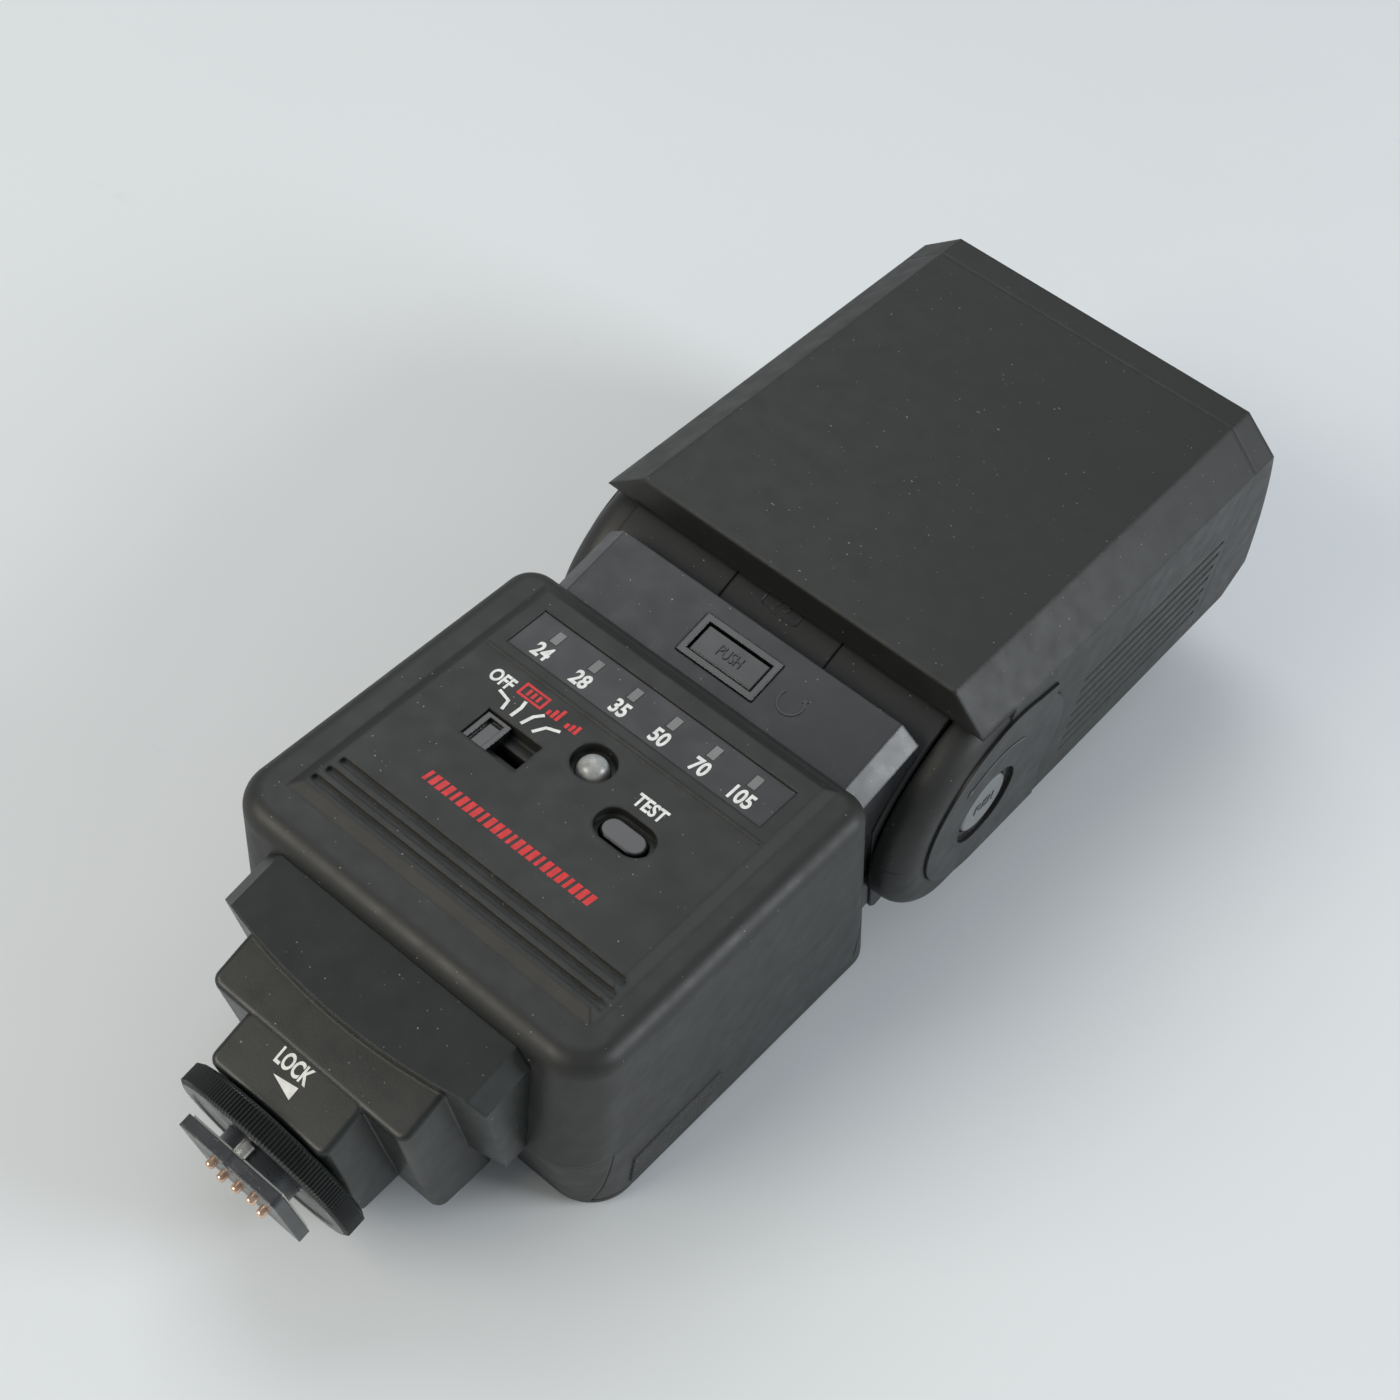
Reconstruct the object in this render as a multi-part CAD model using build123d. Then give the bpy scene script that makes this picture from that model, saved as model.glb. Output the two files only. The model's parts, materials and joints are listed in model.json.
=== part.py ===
from build123d import *
import math
import os

# Speedlight flash, lying on its front with the control panel up.
# Three frames are used, all in millimetres:
#   case frame: +X to the right of the panel, +Y from the foot to the head, +Z out of the panel
#   use frame:  the case frame turned back by CASE_LEAN, so +Y is the upright axis on a camera
#   head frame: parallel to the case frame, with its origin on the tilt axis
os.makedirs("parts", exist_ok=True)

# ---- overall sizes ----
WIDTH = 77.0            # over the two ear covers
CASE_HALF = 34.8        # half the width of the battery case
CASE_DEPTH = 51.5       # panel to front face at the foot end
CASE_SWELL = 3.0        # the case is this much deeper at its head end
CASE_LEAN = 15.0        # lean of the case against the upright axis, degrees
SEAM_Z = -30.5          # joint between the back and front covers
SHOULDER = 1.0          # the control panel stands this far above the shoulder
WALL = 2.0              # moulded wall
CASE_END = 58.5         # use-frame height of the turntable face of the case
CASE_FOOT = -3.7        # foot end of the shoulder, case frame
FOOT_DRAFT = 1.5        # the back cover's foot end leans in by this much at the seam
FRONT_DRAFT = 6.7       # and the front cover's by this much more at its lower edge

# ---- fits ----
SEAT_GAP = 0.1          # parts that sit in a recess
SLIDE_GAP = 0.25        # parts that slide or turn past a moulded wall
RUN_GAP = 0.06          # radial running fit of shafts and pins
TURN_GAP = 0.5          # flat gap between two parts that swing past each other

# ---- foot, use frame ----
FOOT_Z = -21.4          # axis of the foot
SHOE_SIDE = 18.6        # width of the shoe plate
SHOE_LONG = 18.0        # its length
SHOE_THICK = 2.0
SHOE_LOW = -40.4        # underside of the shoe plate
WHEEL_R = 16.0
WHEEL_LOW = -36.0
WHEEL_THICK = 3.9
STEM_R = 6.6            # threaded stem of the shoe
PIN_R = 0.75            # contact pins
PIN_STAND = 1.4         # how far they stand out
PIN_PITCH_X = 4.0
PIN_PITCH_Z = 3.2
LOCK_PIN_R = 1.1
LOCK_PIN_Z = 7.8        # from the foot axis, towards the panel side

# ---- neck, use frame ----
SWIVEL_Z = -44.0        # swivel axis
NECK_HALF = 31.0
NECK_BACK = -20.7
NECK_FRONT = -66.5
NECK_TOP = 73.2
NECK_BEVEL = 3.2
POST_R = 15.0           # swivel post
POST_BORE = 10.5
RING_R = 17.4           # retaining ring inside the case

# ---- tilt axis, case frame ----
HINGE_Y = 93.0
HINGE_Z = -27.3
DRUM_R = 25.3
PIVOT_R = 4.0

# ---- head, head frame ----
HEAD_HALF = 38.0
HEAD_TOP = 30.0
HEAD_LOW = -16.7
HEAD_TOP_LONG = 80.0    # far edge of the top face
HEAD_LONG = 91.6        # most forward point of the lens end
LIP_Y = -9.0            # edge of the top face over the drum
BEVEL_X = 7.0           # long top bevels
BEVEL_Z = 6.0
EAR_INNER = 31.8
EAR_R = 23.4
EAR_SHIFT = 1.0
BULKHEAD = 26.6         # wall between drum space and lamp house
BEZEL_START = 74.0      # the lens bezel begins here
LENS_TILT = 17.0        # slope of the lens end


# ---- small helpers ----
def block(x0, x1, y0, y1, z0, z1):
    size = Box(x1 - x0, y1 - y0, z1 - z0)
    return Pos((x0 + x1) / 2, (y0 + y1) / 2, (z0 + z1) / 2) * size


def rod_x(r, x0, x1, y, z):
    return Pos((x0 + x1) / 2, y, z) * Rot(Y=90) * Cylinder(r, x1 - x0)


def rod_y(r, y0, y1, x, z):
    return Pos(x, (y0 + y1) / 2, z) * Rot(X=90) * Cylinder(r, y1 - y0)


def rod_z(r, z0, z1, x, y):
    return Pos(x, y, (z0 + z1) / 2) * Cylinder(r, z1 - z0)


def side_prism(points, x0, x1):
    """A solid with the given Y-Z outline between two X planes."""
    outline = Plane.YZ * Polygon(*points, align=None)
    return Pos(x0, 0, 0) * extrude(outline, amount=x1 - x0, dir=(1, 0, 0))


def slot_z(length, width, z0, z1, x, y):
    """An upright pill, long side along X."""
    pill = Pos(x, y, z0) * SlotOverall(length, width)
    return extrude(pill, amount=z1 - z0, dir=(0, 0, 1))


def edges_along(shape, axis, share=0.8):
    """Straight edges that run mostly along one axis."""
    picked = []
    for edge in shape.edges().filter_by(GeomType.LINE):
        direction = edge.position_at(1) - edge.position_at(0)
        if abs(direction.normalized().dot(axis)) > share:
            picked.append(edge)
    return ShapeList(picked)


FROM_USE = Rot(X=CASE_LEAN)
FROM_HEAD = Pos(0, HINGE_Y, HINGE_Z)
lean_cos = math.cos(math.radians(CASE_LEAN))
lean_sin = math.sin(math.radians(CASE_LEAN))
HINGE_USE_Y = HINGE_Y * lean_cos + HINGE_Z * lean_sin
HINGE_USE_Z = -HINGE_Y * lean_sin + HINGE_Z * lean_cos
CASE_LOW_Z = -CASE_DEPTH


def case_end_at(z, inset):
    """Case-frame Y of the turntable face at a depth z."""
    return (CASE_END - inset - z * lean_sin) / lean_cos


parts = {}

# =====================================================================================
# Battery case: back cover and front cover, clamped together on the seam
# =====================================================================================
FOOT_CORNER_R = 7.5
HEAD_CORNER_R = 5.0
TOP_ROUND = 3.4
LOW_ROUND = 2.6


def case_block(inset):
    """Outer shape of the case, or the space inside a wall of the given thickness."""
    top = -SHOULDER - inset
    low = CASE_LOW_Z + inset
    points = [
        (CASE_FOOT + inset, top),
        (case_end_at(top, inset), top),
        (case_end_at(low - CASE_SWELL, inset), low - CASE_SWELL),
        (CASE_FOOT + FOOT_DRAFT + FRONT_DRAFT + inset, low),
        (CASE_FOOT + FOOT_DRAFT + inset, SEAM_Z),
    ]
    solid = side_prism(points, -CASE_HALF + inset, CASE_HALF - inset)
    uprights = edges_along(solid, Vector(0, 0, 1))
    foot_edges = [e for e in uprights if e.center().Y < CASE_HALF]
    solid = fillet(ShapeList(foot_edges), FOOT_CORNER_R - inset)
    uprights = edges_along(solid, Vector(0, 0, 1))
    head_edges = [
        e for e in uprights
        if e.center().Y > CASE_HALF and abs(e.center().X) > CASE_HALF - inset - 0.01
    ]
    solid = fillet(ShapeList(head_edges), HEAD_CORNER_R - inset)
    solid = fillet(solid.faces().sort_by(Axis.Z)[-1].edges(), TOP_ROUND - inset)
    solid = fillet(solid.faces().sort_by(Axis.Z)[0].edges(), LOW_ROUND - inset)
    return solid


case_outer = case_block(0)
case_inner = case_block(WALL)
case_shell = case_outer - case_inner

# bosses for the case screws, in the four corners
SCREW_X = 27.5
SCREW_YS = (6.5, 56.0)
SCREW_R = 1.25

# control panel
PANEL_HALF = 27.0
PANEL_Y0 = 5.4
PANEL_Y1 = 57.0
PANEL_SLOPE = 2.2
GROOVES = ((6.9, 27.8), (9.3, 27.3), (11.75, 27.0))   # y, half length
GROOVE_X = 0.8
STRIP_HALF = 24.75
STRIP_Y0 = 45.05
STRIP_Y1 = 53.85
STRIP_DEEP = 1.2
LINE_Y = 42.7
MODE_X0, MODE_X1 = -17.7, -7.1
MODE_Y0, MODE_Y1 = 27.4, 33.7
MODE_DEEP = 2.6
LAMP_X, LAMP_Y, LAMP_RECESS_R, LAMP_R = 0.0, 36.9, 3.6, 2.6
TEST_X, TEST_Y = 11.4, 30.6
TEST_LONG, TEST_WIDE = 10.2, 6.3
TEST_CAP_LONG, TEST_CAP_WIDE = 7.8, 4.1

back_cover = case_shell - block(-60, 60, -60, 120, -80, SEAM_Z)
panel_mid = (PANEL_Y0 + PANEL_Y1) / 2
panel_foot = Pos(0, panel_mid, -SHOULDER - 0.2) * Rectangle(
    2 * (PANEL_HALF + PANEL_SLOPE), PANEL_Y1 - PANEL_Y0 + 2 * PANEL_SLOPE
)
panel_top = Pos(0, panel_mid, 0) * Rectangle(2 * PANEL_HALF, PANEL_Y1 - PANEL_Y0)
back_cover += loft([panel_foot, panel_top])
# floor under the sunk controls
back_cover += block(-22, 22, 22, 56, -MODE_DEEP - 2.2, -SHOULDER - 0.5)
for groove_y, groove_half in GROOVES:
    back_cover -= slot_z(2 * groove_half, 1.3, -0.7, 1.0, GROOVE_X, groove_y)
back_cover -= block(-STRIP_HALF, STRIP_HALF, STRIP_Y0, STRIP_Y1, -STRIP_DEEP, 1)
back_cover += block(-26.6, 26.6, LINE_Y - 0.25, LINE_Y + 0.25, -0.2, 0.25)
back_cover -= block(MODE_X0, MODE_X1, MODE_Y0, MODE_Y1, -MODE_DEEP, 1)
back_cover -= rod_z(LAMP_RECESS_R, -2.2, 1, LAMP_X, LAMP_Y)
back_cover -= rod_z(LAMP_R + SEAT_GAP, -6, 1, LAMP_X, LAMP_Y)
back_cover -= slot_z(TEST_LONG, TEST_WIDE, -1.9, 1, TEST_X, TEST_Y)
back_cover -= slot_z(
    TEST_CAP_LONG + 2 * SLIDE_GAP, TEST_CAP_WIDE + 2 * SLIDE_GAP, -6, 1, TEST_X, TEST_Y
)
# slot in the switch floor for the stem of the mode slider
MODE_STEM_HALF = 1.1
MODE_CAP = 4.5
MODE_TRAVEL = MODE_X1 - MODE_X0 - MODE_CAP - 2 * SLIDE_GAP
MODE_REST_X = MODE_X0 + SLIDE_GAP + MODE_CAP / 2
MODE_MID_Y = (MODE_Y0 + MODE_Y1) / 2
back_cover -= block(
    MODE_REST_X - MODE_STEM_HALF - SLIDE_GAP,
    MODE_REST_X + MODE_TRAVEL + MODE_STEM_HALF + SLIDE_GAP,
    MODE_MID_Y - 0.8 - SLIDE_GAP, MODE_MID_Y + 0.8 + SLIDE_GAP, -6, 0,
)

front_cover = case_shell & block(-60, 60, -60, 120, -80, SEAM_Z)
for sx in (-1, 1):
    for sy in SCREW_YS:
        boss_top = SEAM_Z + 12
        back_cover += (
            rod_z(3.0, SEAM_Z, -SHOULDER - 1.0, sx * SCREW_X, sy)
            - rod_z(SCREW_R, SEAM_Z, boss_top - 3, sx * SCREW_X, sy)
        )

# round opening for the swivel post, square to the upright axis
post_hole = FROM_USE * rod_y(POST_R + RUN_GAP, CASE_END - 8, CASE_END + 3, 0, SWIVEL_Z)
collar = FROM_USE * rod_y(POST_R + 3.5, CASE_END - 3.4, CASE_END - WALL + 0.4, 0, SWIVEL_Z)
collar = collar & case_inner
upper_half = block(-60, 60, -60, 120, SEAM_Z, 40)
lower_half = block(-60, 60, -60, 120, -90, SEAM_Z)
back_cover = back_cover + (collar & upper_half) - post_hole
front_cover = front_cover + (collar & lower_half) - post_hole

# battery door opening on the right side, below the seam
CELL_R = 7.25
CELL_LONG = 50.5
CELL_PITCH = 14.6
CELL_COUNT = 4
CELL_FIRST_Y = 11.2
CELL_Z = -40.2
DOOR_Y0, DOOR_Y1 = 5.6, 68.0
DOOR_Z0, DOOR_Z1 = -48.4, -31.6
door_zone = block(CASE_HALF - WALL - 1.5, 60, DOOR_Y0, DOOR_Y1, DOOR_Z0, DOOR_Z1)
front_cover -= block(CASE_HALF - WALL - 8, 60, DOOR_Y0, DOOR_Y1, DOOR_Z0 - 0.1, DOOR_Z1)

# AF-assist window opening at the foot end of the front cover
AF_HALF = 15.0
AF_Z0, AF_Z1 = -48.4, -40.0
AF_BACK = 5.6
af_zone = block(-AF_HALF, AF_HALF, -20, AF_BACK, AF_Z0, AF_Z1)
front_cover -= af_zone

parts["back_cover"] = back_cover
parts["front_cover"] = front_cover

# door, with its ribbed grip and the pads that carry the contact bridges
door_band = (case_outer - case_block(WALL - 0.4)) & block(
    CASE_HALF - WALL - 1.5, 60,
    DOOR_Y0 + SLIDE_GAP, DOOR_Y1 - SLIDE_GAP, DOOR_Z0 + SLIDE_GAP, DOOR_Z1 - SLIDE_GAP,
)
door = door_band
for i in range(5):
    rib_z = -41.2 - 1.4 * i
    door += block(CASE_HALF - 0.6, CASE_HALF + 0.3, 11.5, 32.0, rib_z - 0.4, rib_z + 0.4)
parts["battery_door"] = door

# =====================================================================================
# Controls on the panel
# =====================================================================================
scale_window = block(
    -STRIP_HALF + SEAT_GAP, STRIP_HALF - SEAT_GAP,
    STRIP_Y0 + SEAT_GAP, STRIP_Y1 - SEAT_GAP, -STRIP_DEEP, -0.25,
)
LIGHT_X0, LIGHT_STEP, LIGHT_Y = -19.6, 7.75, 51.0
light_holes = [
    block(x - 0.75, x + 0.75, LIGHT_Y - 1.35, LIGHT_Y + 1.35, -0.75, 0.5)
    for x in (LIGHT_X0 + LIGHT_STEP * i for i in range(6))
]
lights = [
    block(x - 0.7, x + 0.7, LIGHT_Y - 1.3, LIGHT_Y + 1.3, -0.75, -0.2)
    for x in (LIGHT_X0 + LIGHT_STEP * i for i in range(6))
]
for hole in light_holes:
    scale_window -= hole
parts["zoom_scale_window"] = scale_window
parts["scale_lights"] = Compound(children=lights)

lamp = rod_z(LAMP_R, -5.6, -2.2, LAMP_X, LAMP_Y) + (
    Pos(LAMP_X, LAMP_Y, -2.2) * Sphere(LAMP_R)
)
parts["ready_lamp"] = lamp

TEST_TRAVEL = 0.8
test_cap = slot_z(TEST_CAP_LONG, TEST_CAP_WIDE, -6.0, -0.9, TEST_X, TEST_Y)
test_cap = fillet(test_cap.faces().sort_by(Axis.Z)[-1].edges(), 0.4)
parts["test_button"] = test_cap

mode_cap = block(
    MODE_REST_X - MODE_CAP / 2, MODE_REST_X + MODE_CAP / 2,
    MODE_Y0 + SLIDE_GAP, MODE_Y1 - SLIDE_GAP, -MODE_DEEP + 0.05, -0.5,
)
mode_cap -= block(
    MODE_REST_X - MODE_CAP / 2 + 0.9, MODE_REST_X + MODE_CAP / 2 - 0.9,
    MODE_Y0, MODE_Y1 - 0.9, -1.3, 0,
)
mode_cap += block(
    MODE_REST_X - MODE_STEM_HALF, MODE_REST_X + MODE_STEM_HALF,
    MODE_MID_Y - 0.8, MODE_MID_Y + 0.8, -6.4, -MODE_DEEP + 0.1,
)
parts["mode_slider"] = mode_cap

# =====================================================================================
# Inside the case
# =====================================================================================
BOARD_Z = -9.4
main_board = block(-24, 24, 14, 54, BOARD_Z - 1.2, BOARD_Z)
parts["main_board"] = main_board
for x in (-21, 21):
    for y in (18, 50):
        parts["back_cover"] += rod_z(2.0, BOARD_Z, -WALL, x, y)
switch_bodies = [
    block(MODE_REST_X - 3, MODE_REST_X + MODE_TRAVEL + 3, MODE_MID_Y - 3, MODE_MID_Y + 3,
          BOARD_Z, -7.0)
    - block(MODE_REST_X - 2, MODE_REST_X + MODE_TRAVEL + 2, MODE_MID_Y - 1.2,
            MODE_MID_Y + 1.2, -8.6, 0),
    block(TEST_X - 3, TEST_X + 3, TEST_Y - 3, TEST_Y + 3, BOARD_Z, -7.0),
]
parts["panel_switches"] = Compound(children=switch_bodies)

CAP_R = 7.6
CAP_Y, CAP_Z = 7.3, -21.2
parts["main_capacitor"] = rod_x(CAP_R, -20, 20, CAP_Y, CAP_Z)
for x in (-13, 13):
    saddle = block(x - 1, x + 1, CAP_Y - 6.5, CAP_Y + 6.5, CAP_Z + 3, -SHOULDER - WALL + 0.2)
    parts["back_cover"] += saddle - rod_x(CAP_R, -30, 30, CAP_Y, CAP_Z)
power_board = block(-24, 24, 16, 48, -30.4, -29.2)
parts["power_board"] = power_board
transformer = block(-20, -7, 34, 46, -29.2, -18.2) - block(-18, -9, 33, 47, -26, -21.5)
transformer += block(-17, -10, 34.4, 45.6, -27, -20.5)
parts["oscillator_transformer"] = transformer

TRAY_X0, TRAY_X1 = -24.6, 31.2
CELL_X1 = 31.0
cell_ys = [CELL_FIRST_Y + CELL_PITCH * i for i in range(CELL_COUNT)]
tray = block(TRAY_X0, TRAY_X1, cell_ys[0] - 7.7, cell_ys[-1] + 7.6, -48.4, -32.0)
tray = tray & case_block(WALL + 0.15)
for y in cell_ys:
    tray -= rod_x(CELL_R + 0.12, TRAY_X0 + 1.6, TRAY_X1 + 1, y, CELL_Z)
tray -= block(-1.2, 1.2, 0, 5.6, -47.2, -44.8)
for x in (-20, 20):
    for y in (19, 45):
        tray += rod_z(2.0, -32.4, -30.4, x, y)
parts["cell_tray"] = tray

cells = []
for i, y in enumerate(cell_ys):
    can = rod_x(CELL_R, CELL_X1 - CELL_LONG, CELL_X1 - 1.4, y, CELL_Z)
    cells.append(can + rod_x(2.7, CELL_X1 - 1.5, CELL_X1, y, CELL_Z))
parts["cells"] = Compound(children=cells)

springs = []
for y in cell_ys:
    x_left = TRAY_X0 + 1.6
    x_right = CELL_X1 - CELL_LONG
    plate = rod_x(6.0, x_left, x_left + 0.4, y, CELL_Z)
    for k, r in enumerate((5.2, 4.4, 3.6)):
        x = x_left + 0.4 + k * (x_right - x_left - 0.4) / 3
        step = (x_right - x_left - 0.4) / 3
        plate += rod_x(r, x, x + step, y, CELL_Z) - rod_x(r - 0.9, x, x + step - 0.25, y, CELL_Z)
    springs.append(plate)
parts["cell_springs"] = Compound(children=springs)

bridges = []
for i in (0, 2):
    bridges.append(block(31.2, 31.7, cell_ys[i] - 5, cell_ys[i + 1] + 5, CELL_Z - 4, CELL_Z + 4))
door_pad = [
    block(31.7, CASE_HALF - WALL + 0.4, cell_ys[i] - 5, cell_ys[i + 1] + 5, CELL_Z - 4, CELL_Z + 4)
    for i in (0, 2)
]
for pad in door_pad:
    parts["battery_door"] += pad
parts["cell_bridges"] = Compound(children=bridges)

case_screws = []
for sx in (-1, 1):
    for sy in SCREW_YS:
        case_screws.append(rod_z(SCREW_R, SEAM_Z, SEAM_Z + 8, sx * SCREW_X, sy))
parts["case_screws"] = Compound(children=case_screws)

# =====================================================================================
# AF-assist lamp
# =====================================================================================
af_window = ((case_outer - case_block(1.4)) & block(
    -AF_HALF + SEAT_GAP, AF_HALF - SEAT_GAP, -20, AF_BACK - SEAT_GAP, AF_Z0 + SEAT_GAP, AF_Z1 - SEAT_GAP
))
parts["af_window"] = af_window
parts["af_emitter"] = rod_y(0.9, 4.75, 5.45, 0, -46.0)

# =====================================================================================
# Foot: stepped block, shoe, wheel, pins
# =====================================================================================
STEP_3 = (11.2, -32.0 + 0.2, -22.5)     # half width, low end, high end
STEP_2 = (18.7, -23.7, -12.0)
STEP_1 = (25.0, -22.0, 4.0)
STEP_ARC_R = 107.0
STEP_ARC_LOW = -17.0


def foot_back(y):
    """Back surface of the two small steps."""
    return -8.4 + (y + 32.0) * 0.15


def foot_step(half, low, high, back_low, back_high, front_low, front_high, soft):
    solid = side_prism(
        [(low, back_low), (high, back_high), (high, front_high), (low, front_low)], -half, half
    )
    solid = fillet(edges_along(solid, Vector(0, 0, 1)), soft)
    return fillet(solid.faces().sort_by(Axis.Z)[-1].edges(), 0.9)


step_3 = foot_step(*STEP_3, foot_back(STEP_3[1]), foot_back(STEP_3[2]), -35.0, -37.0, 1.6)
step_2 = foot_step(*STEP_2, foot_back(STEP_2[1]), foot_back(STEP_2[2]), -38.5, -42.0, 1.8)
step_1 = side_prism(
    [(STEP_1[1], -3.7), (STEP_1[2], -3.2), (STEP_1[2], -30), (STEP_1[1], -28)],
    -STEP_1[0], STEP_1[0],
)
step_1 = chamfer(edges_along(step_1, Vector(0, 1, 0)).sort_by(Axis.Z)[-2:], 2.6)
arc_core = Pos(0, STEP_ARC_LOW + STEP_ARC_R, -20) * Cylinder(STEP_ARC_R, 60)
step_1 = step_1 & arc_core
foot_block = step_1 + step_2 + step_3
foot_block -= rod_y(STEM_R, -40, -22, 0, FOOT_Z)
foot_block = FROM_USE * foot_block - case_outer
parts["foot_block"] = foot_block.solids().sort_by(SortBy.VOLUME)[-1]

shoe = block(
    -SHOE_SIDE / 2, SHOE_SIDE / 2, SHOE_LOW, SHOE_LOW + SHOE_THICK,
    FOOT_Z - SHOE_LONG / 2, FOOT_Z + SHOE_LONG / 2,
)
shoe = fillet(edges_along(shoe, Vector(0, 1, 0)), 0.8)
shoe += rod_y(STEM_R, SHOE_LOW + SHOE_THICK, -22, 0, FOOT_Z)
pin_places = [(0.0, 0.0)]
for px in (-1, 1):
    for pz in (-1, 1):
        pin_places.append((px * PIN_PITCH_X, pz * PIN_PITCH_Z))
PIN_TRAVEL = 0.9
PIN_TOP = SHOE_LOW + 5.0
pins = []
for px, pz in pin_places:
    shoe -= rod_y(PIN_R + RUN_GAP, SHOE_LOW - 1, PIN_TOP + PIN_TRAVEL + 0.3, px, FOOT_Z + pz)
    pin = rod_y(PIN_R, SHOE_LOW - PIN_STAND, PIN_TOP, px, FOOT_Z + pz)
    pins.append(fillet(pin.faces().sort_by(Axis.Y)[0].edges(), 0.45))
shoe -= rod_y(LOCK_PIN_R + RUN_GAP, SHOE_LOW - 1, SHOE_LOW + SHOE_THICK + 1, 0,
             FOOT_Z + LOCK_PIN_Z)
parts["shoe_plate"] = FROM_USE * shoe
parts["contact_pins"] = FROM_USE * Compound(children=pins)
lock_pin = rod_y(LOCK_PIN_R, SHOE_LOW + 0.1, WHEEL_LOW - 0.1, 0, FOOT_Z + LOCK_PIN_Z)
parts["lock_pin"] = FROM_USE * lock_pin

leaf = block(-7.6, 7.6, SHOE_LOW + SHOE_THICK, SHOE_LOW + SHOE_THICK + 0.35, FOOT_Z - 8.2, FOOT_Z + 8.2)
for sx in (-1, 1):
    wing = block(*sorted((sx * 5.0, sx * 8.6)), SHOE_LOW + SHOE_THICK, SHOE_LOW + SHOE_THICK + 0.35,
                 FOOT_Z - 8.2, FOOT_Z + 8.2)
    leaf += wing
leaf -= rod_y(STEM_R, -60, 0, 0, FOOT_Z)
leaf -= rod_y(LOCK_PIN_R + RUN_GAP, -60, 0, 0, FOOT_Z + LOCK_PIN_Z)
parts["shoe_spring"] = FROM_USE * leaf

wheel = rod_y(WHEEL_R, WHEEL_LOW, WHEEL_LOW + WHEEL_THICK, 0, FOOT_Z)
wheel = chamfer(wheel.faces().filter_by(GeomType.PLANE).edges(), 0.35)
wheel -= rod_y(STEM_R + 0.15, WHEEL_LOW - 1, WHEEL_LOW + WHEEL_THICK + 1, 0, FOOT_Z)
parts["lock_wheel"] = FROM_USE * wheel

# =====================================================================================
# Neck: swivel post and ring, block, front plate, drum, release button
# =====================================================================================
NECK_LOW = CASE_END + TURN_GAP
NECK_SPLIT = -54.0
BUTTON_Y = 65.9
BUTTON_HALF_X, BUTTON_HALF_Y = 6.4, 2.9
BEZEL_RIM = 1.2
BUTTON_DEEP = 3.4
BUTTON_TRAVEL = 1.2

drum_core = rod_x(DRUM_R, -EAR_INNER + 0.4, EAR_INNER - 0.4, HINGE_USE_Y, HINGE_USE_Z)
neck_outer = block(-NECK_HALF, NECK_HALF, NECK_LOW, NECK_TOP, NECK_FRONT, NECK_BACK)
bevel_edges = edges_along(neck_outer, Vector(0, 1, 0))
neck_outer = chamfer(bevel_edges, NECK_BEVEL)
neck_inner = block(
    -NECK_HALF + 2.4, NECK_HALF - 2.4, NECK_LOW + 3.0, NECK_TOP + 1, NECK_FRONT + 2.2, NECK_BACK - 2.4
)
neck_shell = neck_outer - neck_inner
drum_room = drum_core & block(-60, 60, NECK_LOW + 3.0, 200, -200, 200)
# lip that follows the drum
lip = (neck_outer & block(-40, 40, NECK_TOP - 2.0, NECK_TOP + 1, -70, NECK_BACK)) - drum_room
neck_shell = (neck_shell + lip) - drum_room
# button well
neck_shell += block(-9.5, 9.5, NECK_LOW + 0.5, NECK_TOP - 0.5, NECK_BACK - 5.2, NECK_BACK - 1)
neck_shell -= drum_room
neck_shell -= block(
    -BUTTON_HALF_X - BEZEL_RIM, BUTTON_HALF_X + BEZEL_RIM,
    BUTTON_Y - BUTTON_HALF_Y - BEZEL_RIM, BUTTON_Y + BUTTON_HALF_Y + BEZEL_RIM,
    NECK_BACK - BUTTON_DEEP, NECK_BACK + 1,
)
neck_shell -= rod_y(POST_BORE, NECK_LOW - 1, NECK_LOW + 4, 0, SWIVEL_Z)
neck_front = neck_shell & block(-60, 60, 0, 120, -90, NECK_SPLIT)
neck_block = neck_shell & block(-60, 60, 0, 120, NECK_SPLIT, 0)
parts["neck_block"] = FROM_USE * neck_block
parts["neck_front_plate"] = FROM_USE * neck_front

bezel = block(
    -BUTTON_HALF_X - BEZEL_RIM + SEAT_GAP, BUTTON_HALF_X + BEZEL_RIM - SEAT_GAP,
    BUTTON_Y - BUTTON_HALF_Y - BEZEL_RIM + SEAT_GAP, BUTTON_Y + BUTTON_HALF_Y + BEZEL_RIM - SEAT_GAP,
    NECK_BACK - BUTTON_DEEP, NECK_BACK + 0.3,
)
bezel -= block(
    -BUTTON_HALF_X, BUTTON_HALF_X, BUTTON_Y - BUTTON_HALF_Y, BUTTON_Y + BUTTON_HALF_Y,
    NECK_BACK - BUTTON_DEEP - 1, NECK_BACK + 1,
)
parts["neck_button_bezel"] = FROM_USE * bezel
neck_button = block(
    -BUTTON_HALF_X + SLIDE_GAP, BUTTON_HALF_X - SLIDE_GAP,
    BUTTON_Y - BUTTON_HALF_Y + SLIDE_GAP, BUTTON_Y + BUTTON_HALF_Y - SLIDE_GAP,
    NECK_BACK - BUTTON_DEEP + BUTTON_TRAVEL + 0.1, NECK_BACK - 0.1,
)
neck_button = fillet(neck_button.faces().sort_by(Axis.Z)[-1].edges(), 0.3)
parts["neck_button"] = FROM_USE * neck_button

post = rod_y(POST_R, CASE_END - 4.6, NECK_LOW, 0, SWIVEL_Z)
post -= rod_y(POST_BORE, 0, 100, 0, SWIVEL_Z)
parts["swivel_post"] = FROM_USE * post
ring = rod_y(RING_R, CASE_END - 5.8, CASE_END - 4.6, 0, SWIVEL_Z)
ring -= rod_y(POST_BORE, 0, 100, 0, SWIVEL_Z)
parts["swivel_ring"] = FROM_USE * ring

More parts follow.
